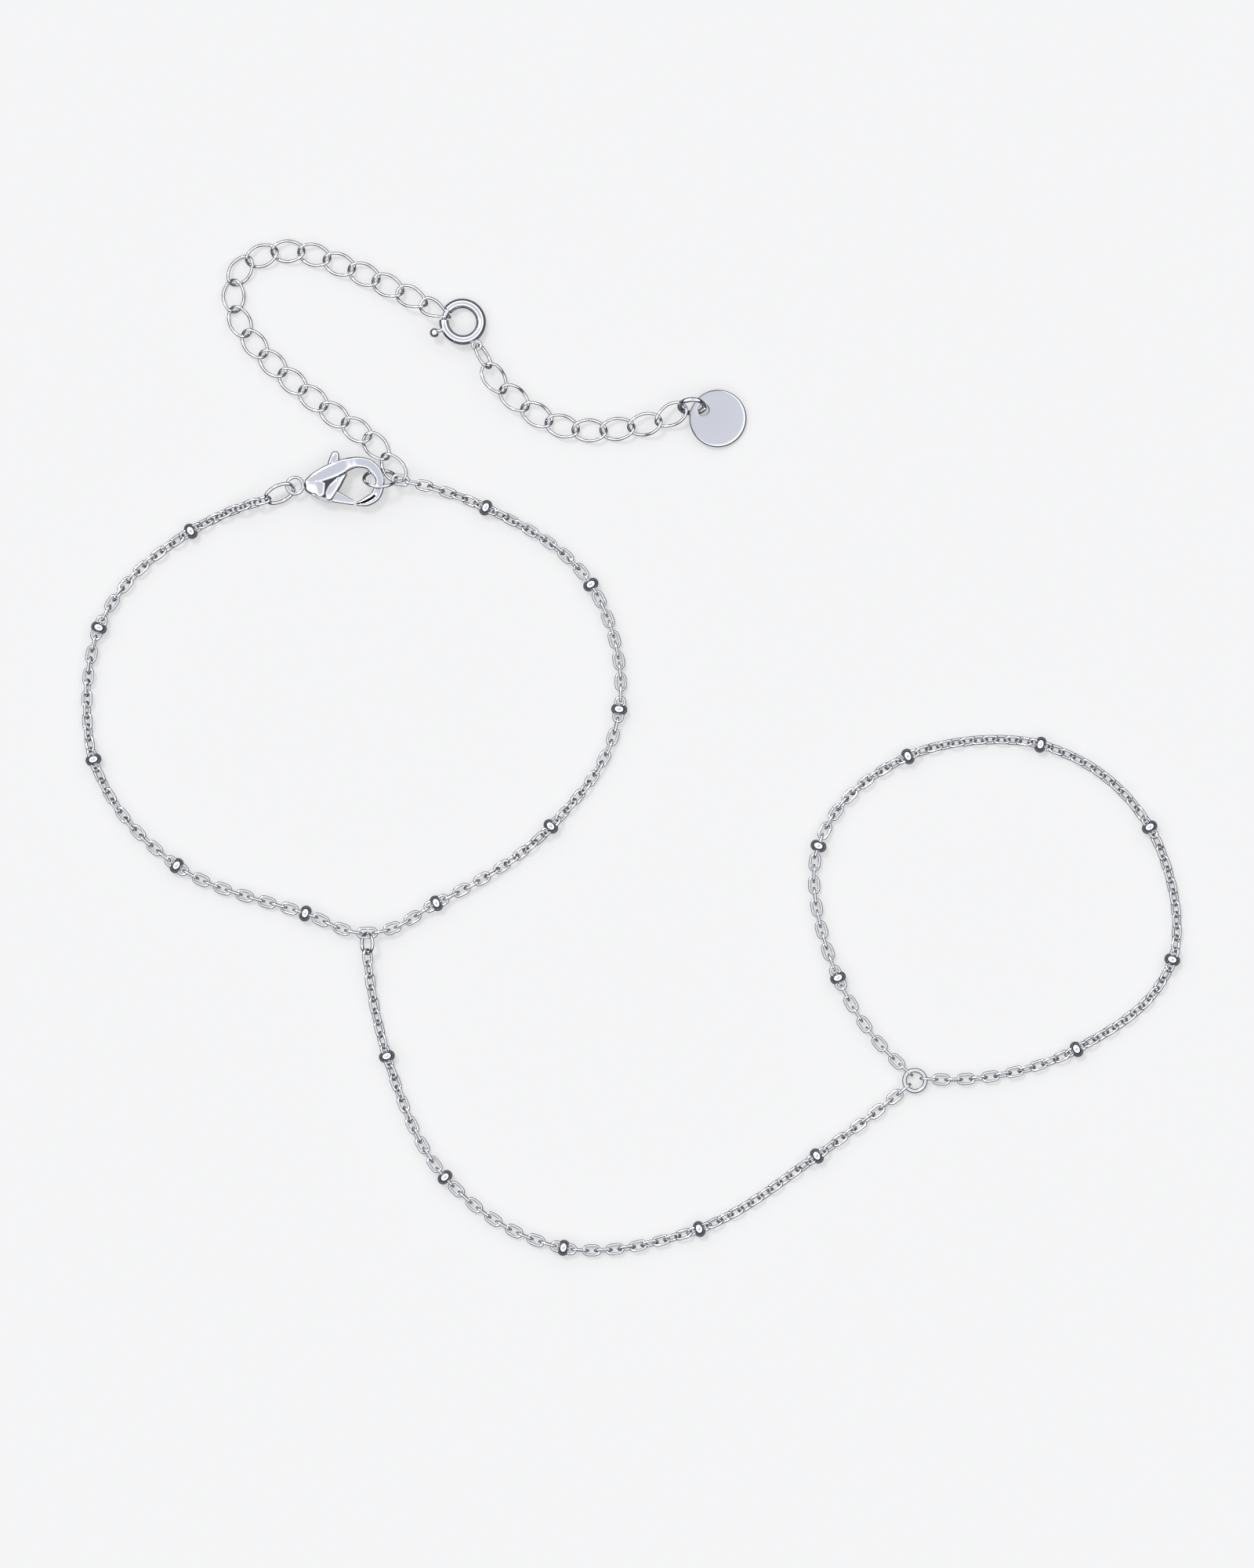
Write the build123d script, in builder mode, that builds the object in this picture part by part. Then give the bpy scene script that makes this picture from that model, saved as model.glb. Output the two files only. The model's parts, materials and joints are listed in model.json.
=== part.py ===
"""A hand chain bracelet: a wrist chain with a claw clasp and an extender, a hand chain and a finger loop.

Sizes are in millimetres. The bracelet lies on the plane z = 0, seen from above as it is laid out,
with +X to the right, +Y up the page and the origin under the middle of its outline.
"""
from build123d import *
import os
from math import cos, pi, radians, sin, sqrt, tan

os.makedirs("parts", exist_ok=True)

# Where the middle of the whole outline falls in the layout's own coordinates
MIDDLE_X = -0.151
MIDDLE_Y = 0.378

# Fine cable chain with a ball every eleventh link
LINK_LENGTH = 2.0
LINK_WIDTH = 1.24
LINK_WIRE = 0.28
BALL_ACROSS = 1.7
BALL_ALONG = 1.16
BALL_LINK_LENGTH = 2.88
JUNCTION_LINK_LENGTH = 2.25  # the wrist chain's middle link, which holds the junction ring
PLAY = 0.1  # a link's wire to the wire that it hangs on
BALL_PLAY = 0.16  # a ball to the wire beside it
BALL_HEIGHT = BALL_ACROSS / 2
JUNCTION_HEIGHT, FINGER_RING_HEIGHT = 1.06, 0.62
END_RING_HEIGHT = 1.6  # of its middle
END_HOLD_HEIGHT = 1.755  # of its wire where the wrist chain hangs on it
BALL_RISE_SPAN = 2.8  # over which the chain climbs to a ball's height
END_RISE_SPAN = 6.5  # over which it climbs to a ring
FLOOR_PLAY = 0.02  # under a link that lies on the surface
CHAIN_STEP = 0.2  # each side of a link's middle, for its slope

# The hand chain's solid, and the bore that its balls have for it
TUBE_WIRE = 0.9
TUBE_BORE = 1.1
BEND_SHARE = 0.45  # of the shorter run beside it that a bend takes up

# Twisted links of the extender
LONG_LINK = (3.66, 2.47)  # length and width
SHORT_LINK = (3.8, 2.5)
CURB_WIRE = 0.3
CURB_END_TURN = -45
CURB_SIDE_TURN = -27
CURB_HEIGHT = 0.62  # of a lying link's middle

# Rings
CLASP_RING_LENGTH, CLASP_RING_WIDTH, CLASP_RING_WIRE = 3.44, 2.5, 0.37
CLASP_RING_X, CLASP_RING_Y, CLASP_RING_HEADING, CLASP_RING_ROLL = -36.89, 26.93, 25, 40
END_RING_ACROSS, END_RING_WIRE = 3.7, 0.34
TAG_RING_ACROSS, TAG_RING_WIRE, TAG_RING_HEIGHT = 3.1, 0.5, 1.42
JUNCTION_RING_ACROSS, JUNCTION_RING_WIRE = 2.45, 0.35
FINGER_RING_ACROSS, FINGER_RING_WIRE = 2.65, 0.45
BAIL_LENGTH, BAIL_WIDTH, BAIL_WIRE = 3.0, 2.2, 0.3
BAIL_HEADING, BAIL_ROLL = -60, -60

# Claw clasp, about the middle of its pin
CLASP_X, CLASP_Y, CLASP_Z = -31.6, 26.93, 1.3
BODY_THICK = 1.7
HOOK_THICK = 0.9
BOSS_THICK = 2.26
SLOT_THICK = 0.9
LEVER_THICK = 0.76
PIN_RADIUS = 0.3
PIN_CLEARANCE = 0.04
EYELET_X, EYELET_Y = -3.69, 0.82
EYELET_RADIUS, EYELET_WIRE = 0.86, 0.33

# Spring ring, about its own axis
SPRING_X, SPRING_Y, SPRING_Z = -17.79, 44.88, 0.9
SPRING_LEAN = 11.3
SPRING_LEAN_TOWARDS = 231.5  # the side that is raised
SPRING_RADIUS = 1.95
TUBE_OUTSIDE, TUBE_INSIDE, BOLT_RADIUS = 0.5, 0.32, 0.27
GAP_FROM, GAP_TO = 143, 176
BOLT_FROM, BOLT_TO = 140, 236
SLOT_FROM, SLOT_TO, SLOT_HEIGHT, SLOT_REACH = 195, 245, 0.5, 1.0
TRIGGER_AT, TRIGGER_STEM, TRIGGER_REACH, TRIGGER_KNOB = 202, 0.18, 3.2, 0.48
SPRING_EYE_AT, SPRING_EYE_REACH, SPRING_EYE_RADIUS, SPRING_EYE_WIRE = 301, 2.88, 0.46, 0.26

# Tag
TAG_X, TAG_Y, TAG_Z = 8.89, 34.77, 0.72
TAG_ACROSS, TAG_THICK, TAG_EDGE = 6.0, 0.45, 0.08
TAG_HOLE_AT, TAG_HOLE_OUT, TAG_HOLE_ACROSS = 150, 1.82, 1.2
TAG_LEAN = 9.0

UP = Vector(0, 0, 1)


def spot(x, y, z=0.0):
    """A place of the layout, measured from under the middle of the outline."""
    return Vector(x - MIDDLE_X, y - MIDDLE_Y, z)


def heading(angle):
    """The level direction at an angle from +X."""
    return Vector(cos(radians(angle)), sin(radians(angle)), 0)


def rolled_plane(origin, along, roll):
    """The plane of a link whose length lies along a direction, rolled about it from lying flat."""
    along = along.normalized()
    side = UP.cross(along).normalized()
    above = along.cross(side)
    return Plane(origin, x_dir=along, z_dir=above * cos(radians(roll)) - side * sin(radians(roll)))


def wire_section(start, direction, wire):
    """A round section of wire across a direction."""
    with BuildSketch(Plane(start, z_dir=direction)) as section:
        Circle(wire / 2)
    return section.sketch


def slot_link(length, width, wire):
    """A flat link with straight sides and round ends, its length along X."""
    run = (length - width) / 2
    bend = (width - wire) / 2
    with BuildPart() as link:
        with BuildLine() as path:
            Line((-run, -bend), (run, -bend))
            JernArc((run, -bend), (1, 0), bend, 180)
            Line((run, bend), (-run, bend))
            JernArc((-run, bend), (-1, 0), bend, 180)
        sweep(sections=wire_section((-run, -bend, 0), (1, 0, 0), wire), path=path.wires()[0])
    return link.part


def oval_link(length, width, wire, end_turn=0, side_turn=0):
    """An oval link of arcs, its length along X, that may be twisted.

    Its end at +X is turned by end_turn about X and its other end by as much the other way, and the
    middles of its sides slope by side_turn.
    """
    tip = Vector((length - wire) / 2, 0, 0)
    flank = Vector(0, (width - wire) / 2, 0)
    leave = Vector(0, cos(radians(end_turn)), sin(radians(end_turn)))
    arrive = Vector(-cos(radians(side_turn)), 0, -sin(radians(side_turn)))
    chord = flank - tip
    both = leave + arrive
    spread = 2 * (1 - leave.dot(arrive))
    reach = (sqrt(chord.dot(both) ** 2 + spread * chord.dot(chord)) - chord.dot(both)) / spread
    knee = (tip + flank + (leave - arrive) * reach) * 0.5
    far_knee = Vector(-knee.X, knee.Y, -knee.Z)
    with BuildPart() as half:
        with BuildLine() as path:
            TangentArc(tip, knee, tangent=leave)
            TangentArc(flank, knee, tangent=-arrive)
            TangentArc(flank, far_knee, tangent=arrive)
            TangentArc(-tip, far_knee, tangent=Vector(0, leave.Y, -leave.Z))
        sweep(sections=wire_section(tip, leave, wire), path=path.wires()[0])
    with BuildPart() as link:
        add(half.part)
        add(half.part, rotation=(180, 0, 0))
    return link.part


def section_plane(base, outward, out):
    """The plane through a base plane's axis, its origin so far out, its X outwards and its Y up the axis."""
    return Plane(base.origin + outward * out, x_dir=outward, z_dir=outward.cross(base.z_dir))


def round_ring(base, across, wire):
    """A round ring of wire that lies in a plane about its origin."""
    radius = (across - wire) / 2
    with BuildPart() as ring:
        with BuildSketch(section_plane(base, base.x_dir, radius)):
            Circle(wire / 2)
        revolve(axis=Axis(base.origin, base.z_dir))
    return ring.part


def save(name, part):
    """Label a finished piece and write it."""
    part.label = name
    export_step(part, f"parts/{name}.step")


# Plain parts that repeat
fine_link = slot_link(LINK_LENGTH, LINK_WIDTH, LINK_WIRE)
long_link = oval_link(*LONG_LINK, CURB_WIRE, CURB_END_TURN, CURB_SIDE_TURN)
short_link = oval_link(*SHORT_LINK, CURB_WIRE, CURB_END_TURN, CURB_SIDE_TURN)


def ball_profile(bore):
    """Half of a ball's section, from its bore out, with its axis along X."""
    with BuildSketch() as profile:
        with Locations((0, (BALL_ACROSS - BALL_ALONG) / 2)):
            Circle(BALL_ALONG / 2)
        Rectangle(BALL_ALONG, (BALL_ACROSS - BALL_ALONG) / 2, align=(Align.CENTER, Align.MIN))
        Rectangle(BALL_ALONG, BALL_ACROSS, align=(Align.CENTER, Align.MAX), mode=Mode.SUBTRACT)
        if bore:
            Rectangle(BALL_ALONG, bore / 2, align=(Align.CENTER, Align.MIN), mode=Mode.SUBTRACT)
    return profile.sketch


with BuildPart() as ball_link:
    add(slot_link(BALL_LINK_LENGTH, LINK_WIDTH, LINK_WIRE))
    with BuildSketch(Plane.XY):
        add(ball_profile(0))
    revolve(axis=Axis.X)

with BuildPart() as drilled_ball:
    with BuildSketch(Plane.XY):
        add(ball_profile(TUBE_BORE))
    revolve(axis=Axis.X)


def stretches_through(points):
    """Smooth stretches from point to point, with one direction where two of them meet."""
    chords = [b - a for a, b in zip(points, points[1:])]
    inner = []
    for before, after in zip(chords, chords[1:]):
        inner.append((before.normalized() * after.length + after.normalized() * before.length).normalized())
    first = (chords[0].normalized() * 2 - inner[0]).normalized()
    last = (chords[-1].normalized() * 2 - inner[-1]).normalized()
    ways = [first] + inner + [last]
    with BuildLine():
        return [
            Spline(a, b, tangents=(u, v))
            for a, b, u, v in zip(points, points[1:], ways, ways[1:])
        ]


def hump(distance, height, span):
    """The height of a smooth rise at a distance from its top."""
    return height * (1 + cos(pi * min(distance / span, 1))) / 2


def lying_height(roll):
    """The height of a chain's middle whose links are rolled by roll and a quarter turn more."""
    steep = max(abs(sin(radians(roll))), abs(cos(radians(roll))))
    return (LINK_WIDTH - LINK_WIRE) / 2 * steep + LINK_WIRE / 2 + FLOOR_PLAY


def chain_planes(rows, start_hold, end_hold, junction=None):
    """The planes of a fine chain's plain links, row by row, and of the links at the rows between its ends.

    start_hold and end_hold: from the first and last row to the middle of the link beside it.
    junction: the row, if any, that is the long link over the junction ring and not a ball.
    """
    stretches = stretches_through([spot(x, y) for x, y, _, _, _ in rows])
    ball_hold = BALL_ALONG / 2 + BALL_PLAY + LINK_LENGTH / 2
    junction_hold = (LINK_LENGTH + JUNCTION_LINK_LENGTH) / 2 - 2 * LINK_WIRE - PLAY
    holds = [start_hold] + [ball_hold] * (len(rows) - 2) + [end_hold]
    if junction:
        holds[junction] = junction_hold
    spans = [END_RISE_SPAN] + [BALL_RISE_SPAN] * (len(rows) - 2) + [END_RISE_SPAN]
    if junction:
        spans[junction] = END_RISE_SPAN
    plain, knots = [], []
    turn = 0
    for number, stretch in enumerate(stretches):
        _, _, count, roll, height = rows[number]
        _, _, _, next_roll, next_height = rows[number + 1]
        whole = stretch.length
        here_rise = height - lying_height(roll)
        next_rise = next_height - lying_height(next_roll)

        def rolled(s):
            return roll + (next_roll - roll) * s / whole

        def place(s):
            level = lying_height(rolled(s)) + hump(s, here_rise, spans[number])
            level += hump(whole - s, next_rise, spans[number + 1])
            return stretch.position_at(s, PositionMode.LENGTH) + UP * level

        group = []
        room = whole - holds[number] - holds[number + 1]
        for k in range(count):
            s = holds[number] + room * k / (count - 1)
            along = place(min(s + CHAIN_STEP, whole)) - place(max(s - CHAIN_STEP, 0))
            group.append(rolled_plane(place(s), along, rolled(s) + 90 * turn))
            turn = 1 - turn
        plain.append(group)
        if number < len(stretches) - 1:
            knots.append(rolled_plane(place(whole), stretch.tangent_at(1), next_roll + 90 * turn))
            turn = 1 - turn
    return plain, knots


def chain_of(link, planes):
    """One part with a copy of a link in each plane."""
    with BuildPart() as chain:
        with Locations(*planes):
            add(link)
    return chain.part


# Fine chains: x, y, plain links to the next row, roll, height of the chain's middle; between the
# first and last rows, which lie on a ring's wire, each row is a ball or the link over the junction ring
WRIST = [
    (-38.28, 26.28, 7, 50, CLASP_Z),
    (-46.19, 22.99, 10, 45, BALL_HEIGHT),
    (-55.78, 12.91, 10, 0, BALL_HEIGHT),
    (-56.35, -0.86, 10, 45, BALL_HEIGHT),
    (-47.66, -11.93, 10, 0, BALL_HEIGHT),
    (-34.22, -16.93, 4, 0, BALL_HEIGHT),
    (-27.75, -18.95, 5, 0, JUNCTION_HEIGHT),
    (-20.53, -15.86, 10, 0, BALL_HEIGHT),
    (-8.57, -7.83, 10, 45, BALL_HEIGHT),
    (-1.43, 4.39, 10, 0, BALL_HEIGHT),
    (-4.39, 17.42, 10, 0, BALL_HEIGHT),
    (-15.37, 25.45, 7, 45, BALL_HEIGHT),
    (-24.72, 28.38, 0, 83, END_HOLD_HEIGHT),
]
JUNCTION_ROW = 6
FINGER = [
    (28.81, -33.51, 9, 90, FINGER_RING_HEIGHT),
    (21.43, -23.65, 10, 90, BALL_HEIGHT),
    (19.39, -9.88, 10, 90, BALL_HEIGHT),
    (28.73, -0.53, 10, 45, BALL_HEIGHT),
    (42.58, 0.70, 10, 45, BALL_HEIGHT),
    (53.98, -7.91, 10, 45, BALL_HEIGHT),
    (56.35, -21.76, 10, 45, BALL_HEIGHT),
    (46.35, -31.11, 12, 45, BALL_HEIGHT),
    (30.55, -34.18, 0, 0, FINGER_RING_HEIGHT),
]


def ring_hold(ring_wire):
    """From the middle of a ring's wire to the middle of the fine link that hangs on it."""
    return (LINK_LENGTH - LINK_WIRE) / 2 - ring_wire / 2 - LINK_WIRE / 2 - PLAY


wrist_groups, wrist_knots = chain_planes(
    WRIST, ring_hold(CLASP_RING_WIRE), ring_hold(END_RING_WIRE), JUNCTION_ROW
)
finger_groups, finger_balls = chain_planes(FINGER, ring_hold(FINGER_RING_WIRE), ring_hold(FINGER_RING_WIRE))
left_links = sum(wrist_groups[:JUNCTION_ROW], [])
right_links = sum(wrist_groups[JUNCTION_ROW:], [])
finger_links = sum(finger_groups, [])
junction_link_plane = wrist_knots[JUNCTION_ROW - 1]
left_balls = wrist_knots[: JUNCTION_ROW - 1]
right_balls = wrist_knots[JUNCTION_ROW:]
junction_link = slot_link(JUNCTION_LINK_LENGTH, LINK_WIDTH, LINK_WIRE)
with BuildPart() as wrist_chain_left:
    add(chain_of(fine_link, left_links))
    add(chain_of(junction_link, [junction_link_plane]))
save("wrist_chain_left", wrist_chain_left.part)
save("wrist_chain_right", chain_of(fine_link, right_links))
save("finger_chain", chain_of(fine_link, finger_links))
for name, planes in (
    ("wrist_ball_left", left_balls),
    ("wrist_ball_right", right_balls),
    ("finger_ball", finger_balls),
):
    for number, plane in enumerate(planes, 1):
        save(f"{name}_{number}", chain_of(ball_link.part, [plane]))


# The hand chain's solid: a tube along straight runs and tangent arcs, through drilled balls
HAND_ROUTE = [
    (-27.3, -21.75),
    (-27.0, -28.3),
    (-23.42, -40.3),
    (-14.22, -50.44),
    (-1.65, -52.97),
    (9.2, -49.1),
    (15.6, -45.0),
    (24.3, -38.75),
    (28.11, -35.53),
]
# The balls on it: x, y, and which of the straight runs each one is on
HAND_BALLS = [
    (-25.7, -31.84, 1),
    (-19.63, -44.47, 2),
    (-7.25, -51.84, 3),
    (6.93, -49.88, 4),
    (19.22, -42.25, 6),
]

route = [spot(x, y, BALL_HEIGHT) for x, y in HAND_ROUTE]
runs = [b - a for a, b in zip(route, route[1:])]
bends = []
for before, after in zip(runs, runs[1:]):
    turn = radians(before.get_angle(after))
    bends.append(BEND_SHARE * min(before.length, after.length) / tan(turn / 2))
print("hand chain bend radii", [round(bend, 1) for bend in bends])
with BuildPart() as hand_chain:
    with BuildLine() as path:
        FilletPolyline(*route, radius=bends)
    sweep(sections=wire_section(route[0], runs[0], TUBE_WIRE), path=path.wires()[0])
section = pi * TUBE_WIRE**2 / 4
print("hand chain volume", hand_chain.part.volume, "section by length", section * path.wires()[0].length)
save("hand_chain", hand_chain.part)

for number, (x, y, run) in enumerate(HAND_BALLS, 1):
    along = runs[run].normalized()
    middle = route[run] + along * (spot(x, y) - route[run]).dot(along)
    save(f"hand_ball_{number}", chain_of(drilled_ball.part, [rolled_plane(middle, along, 0)]))

# Extender: the middle of the first and last link's outer ends, and places between them
LONG_ROUTE = [
    (-24.02, 28.33),
    (-26.08, 30.9),
    (-27.4, 32.55),
    (-30.0, 34.3),
    (-34.34, 37.63),
    (-38.35, 41.24),
    (-40.15, 43.38),
    (-41.43, 45.78),
    (-41.68, 48.37),
    (-40.75, 50.6),
    (-38.6, 51.85),
    (-35.94, 52.25),
    (-30.51, 50.82),
    (-25.34, 48.52),
    (-21.8, 46.75),
    (-19.14, 45.32),
]
SHORT_ROUTE = [
    (-15.2, 40.5),
    (-14.47, 38.98),
    (-12.09, 36.68),
    (-9.59, 34.92),
    (-6.76, 33.81),
    (-3.98, 33.52),
    (-1.27, 33.73),
    (1.81, 34.3),
    (4.2, 35.25),
    (5.35, 36.2),
]
# For each end: the rolls of the links from it inwards, its height, and how far its rise reaches
LONG_START, LONG_END = ((-12, 12, -5), 1.12, 6.0), ((-45, -22, -10), 1.1, 9.0)
SHORT_START, SHORT_END = ((-15, -6), 1.15, 9.0), ((14, 6), 1.38, 9.0)


def curb_planes(points, link_length, count, start, end):
    """The planes of evenly spaced twisted links along a route that ends at their outer wires."""
    stretches = stretches_through([spot(x, y) for x, y in points])
    whole = sum(stretch.length for stretch in stretches)
    start_rolls, start_height, start_span = start
    end_rolls, end_height, end_span = end

    def place(s):
        rest = s
        for stretch in stretches:
            if rest <= stretch.length or stretch is stretches[-1]:
                break
            rest -= stretch.length
        height = CURB_HEIGHT + hump(s, start_height - CURB_HEIGHT, start_span)
        height += hump(whole - s, end_height - CURB_HEIGHT, end_span)
        return stretch.position_at(min(rest, stretch.length), PositionMode.LENGTH) + UP * height

    hold = (link_length - CURB_WIRE) / 2
    rolls = list(start_rolls) + [0] * (count - len(start_rolls) - len(end_rolls)) + list(end_rolls)[::-1]
    planes = []
    for k, roll in enumerate(rolls):
        s = hold + (whole - 2 * hold) * k / (count - 1)
        planes.append(rolled_plane(place(s), place(s + hold) - place(s - hold), roll))
    print("curb pitch", (whole - 2 * hold) / (count - 1), "at most", link_length - 2 * CURB_WIRE - PLAY)
    return planes


long_planes = curb_planes(LONG_ROUTE, LONG_LINK[0], 19, LONG_START, LONG_END)
short_planes = curb_planes(SHORT_ROUTE, SHORT_LINK[0], 8, SHORT_START, SHORT_END)
save("extender_chain_long", chain_of(long_link, long_planes))
save("extender_chain_short", chain_of(short_link, short_planes))


# Rings: the middle, and the way that the plane faces
def facing(origin, lean, towards):
    """A plane whose level normal is leaned by an angle towards a heading."""
    normal = UP * cos(radians(lean)) + heading(towards) * sin(radians(lean))
    return Plane(origin, x_dir=heading(towards + 90), z_dir=normal)


# Round rings: x, y, height of the middle, the plane's lean and its heading, size across, wire
RINGS = {
    "junction_ring": (-27.75, -20.05, JUNCTION_HEIGHT, 56, 180, JUNCTION_RING_ACROSS, JUNCTION_RING_WIRE),
    "finger_ring": (29.47, -34.39, FINGER_RING_HEIGHT, 0, 0, FINGER_RING_ACROSS, FINGER_RING_WIRE),
    "end_jump_ring": (-26.39, 28.48, END_RING_HEIGHT, 58, 90, END_RING_ACROSS, END_RING_WIRE),
    "tag_jump_ring": (6.19, 36.02, TAG_RING_HEIGHT, 60, 270, TAG_RING_ACROSS, TAG_RING_WIRE),
}
for name, (x, y, height, lean, towards, across, wire) in RINGS.items():
    save(name, round_ring(facing(spot(x, y, height), lean, towards), across, wire))

clasp_ring = oval_link(CLASP_RING_LENGTH, CLASP_RING_WIDTH, CLASP_RING_WIRE)
clasp_ring_middle = spot(CLASP_RING_X, CLASP_RING_Y, CLASP_Z)
clasp_ring_plane = rolled_plane(clasp_ring_middle, heading(CLASP_RING_HEADING), CLASP_RING_ROLL)
save("clasp_jump_ring", chain_of(clasp_ring, [clasp_ring_plane]))

# Spring ring
spring_base = facing(spot(SPRING_X, SPRING_Y, SPRING_Z), SPRING_LEAN, SPRING_LEAN_TOWARDS + 180)


def round_the_ring(angle_from, angle_to, radius):
    """A round section turned about the spring ring's axis, from one compass angle to another."""
    with BuildPart() as turned:
        with BuildSketch(spring_section(angle_from, SPRING_RADIUS)):
            Circle(radius)
        revolve(axis=spring_axis, revolution_arc=angle_to - angle_from)
    return turned.part


def spring_direction(angle):
    """The direction in the spring ring's plane whose level heading is an angle."""
    level = heading(angle)
    normal = spring_base.z_dir
    return (level - UP * (level.dot(normal) / normal.Z)).normalized()


def spring_section(angle, out):
    """The plane across the spring ring's tube at an angle."""
    return section_plane(spring_base, spring_direction(angle), out)


spring_axis = Axis(spring_base.origin, spring_base.z_dir)
with BuildPart() as spring_ring:
    add(round_the_ring(GAP_TO, GAP_FROM + 360, TUBE_OUTSIDE))
    eye_middle = spring_section(SPRING_EYE_AT, SPRING_EYE_REACH).origin
    with BuildSketch(spring_section(SPRING_EYE_AT, SPRING_EYE_REACH + SPRING_EYE_RADIUS)):
        Circle(SPRING_EYE_WIRE / 2)
    revolve(axis=Axis(eye_middle, spring_base.z_dir))
    add(round_the_ring(GAP_TO, GAP_FROM + 360, TUBE_INSIDE), mode=Mode.SUBTRACT)
    with BuildSketch(spring_section(SLOT_FROM, SPRING_RADIUS)):
        Rectangle(SLOT_REACH, SLOT_HEIGHT, align=(Align.MIN, Align.CENTER))
    revolve(axis=spring_axis, revolution_arc=SLOT_TO - SLOT_FROM, mode=Mode.SUBTRACT)
save("spring_ring", spring_ring.part)

with BuildPart() as spring_ring_bolt:
    add(round_the_ring(BOLT_FROM, BOLT_TO, BOLT_RADIUS))
    # The trigger's half section, from the bolt's middle out, turned about its own line
    trigger_plane = spring_section(TRIGGER_AT, SPRING_RADIUS)
    knob_at = TRIGGER_REACH - SPRING_RADIUS
    neck_at = knob_at - sqrt(TRIGGER_KNOB**2 - TRIGGER_STEM**2)
    with BuildSketch(trigger_plane):
        with BuildLine():
            Polyline((knob_at + TRIGGER_KNOB, 0), (0, 0), (0, TRIGGER_STEM), (neck_at, TRIGGER_STEM))
            ThreePointArc((neck_at, TRIGGER_STEM), (knob_at, TRIGGER_KNOB), (knob_at + TRIGGER_KNOB, 0))
        make_face()
    revolve(axis=Axis(trigger_plane.origin, trigger_plane.x_dir))
save("spring_ring_bolt", spring_ring_bolt.part)

bail_along = heading(BAIL_HEADING)
bail_middle = eye_middle + bail_along * ((BAIL_LENGTH - BAIL_WIRE) / 2)
bail = oval_link(BAIL_LENGTH, BAIL_WIDTH, BAIL_WIRE)
bail_plane = rolled_plane(bail_middle, bail_along, BAIL_ROLL)
save("spring_ring_bail", chain_of(bail, [bail_plane]))

# Tag disc, raised at its hole and resting on its far edge
tag_base = facing(spot(TAG_X, TAG_Y, TAG_Z), TAG_LEAN, TAG_HOLE_AT + 180)
with BuildPart() as tag_disc:
    with BuildSketch(tag_base.offset(-TAG_THICK / 2)):
        Circle(TAG_ACROSS / 2)
        with Locations(tag_base.to_local_coords(tag_base.origin + heading(TAG_HOLE_AT) * TAG_HOLE_OUT)):
            Circle(TAG_HOLE_ACROSS / 2, mode=Mode.SUBTRACT)
    extrude(amount=TAG_THICK)
    chamfer(tag_disc.edges().filter_by(GeomType.CIRCLE), TAG_EDGE)
save("tag_disc", tag_disc.part)

# Claw clasp
clasp_base = Plane(spot(CLASP_X, CLASP_Y, CLASP_Z))


def clasp_plate(sketch, thickness):
    """A flat piece of the clasp, as thick on both sides of its middle plane."""
    with BuildPart() as plate:
        with BuildSketch(clasp_base):
            add(sketch)
        extrude(amount=thickness / 2, both=True)
    return plate.part


with BuildSketch() as body_outline:
    with BuildLine():
        ThreePointArc((-2.75, 1.2), (-0.9, 2.75), (0.98, 3.52))
        ThreePointArc((0.98, 3.52), (3.5, 3.82), (5.35, 2.5))
        ThreePointArc((5.35, 2.5), (5.7, 1.0), (5.29, -0.33))
        ThreePointArc((5.29, -0.33), (4.63, -1.07), (3.69, -1.35))
        Polyline((3.69, -1.35), (2.54, -1.35), (2.54, -0.9))
        ThreePointArc((2.54, -0.9), (3.69, -0.33), (4.34, 0.33))
        ThreePointArc((4.34, 0.33), (4.63, 0.9), (4.43, 1.56))
        ThreePointArc((4.43, 1.56), (3.98, 2.21), (3.2, 2.62))
        ThreePointArc((3.2, 2.62), (2.46, 2.5), (1.72, 2.05))
        Line((1.72, 2.05), (0.2, -0.86))
        ThreePointArc((0.2, -0.86), (-1.3, -0.5), (-2.75, 0.45))
        Line((-2.75, 0.45), (-2.75, 1.2))
    make_face()

with BuildSketch() as boss_outline:
    with BuildLine():
        ThreePointArc((1.62, 2.0), (0.1, 1.35), (-0.62, -0.2))
        ThreePointArc((-0.62, -0.2), (-0.35, -0.72), (0.18, -0.8))
        Line((0.18, -0.8), (1.62, 2.0))
    make_face()

with BuildSketch() as slot_outline:
    with BuildLine():
        Polyline((0.95, 0.6), (1.35, 4.2), (-2.1, 3.6), (-0.95, 0.3))
        ThreePointArc((-0.95, 0.3), (-0.7, -0.7), (0.3, -1.2))
        Line((0.3, -1.2), (1.9, -0.5))
        Line((1.9, -0.5), (0.95, 0.6))
    make_face()

with BuildSketch() as lever_outline:
    Circle(0.8)
    with BuildLine():
        Polyline((0.55, 0.55), (2.44, -0.57), (2.44, -1.23), (0.2, -0.78), (0.55, 0.55))
    make_face()
    with BuildLine():
        Line((-0.45, 0.5), (-0.15, 4.1))
        ThreePointArc((-0.15, 4.1), (0.3, 4.45), (0.7, 4.1))
        Line((0.7, 4.1), (0.6, 0.5))
        Line((0.6, 0.5), (-0.45, 0.5))
    make_face()

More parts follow.
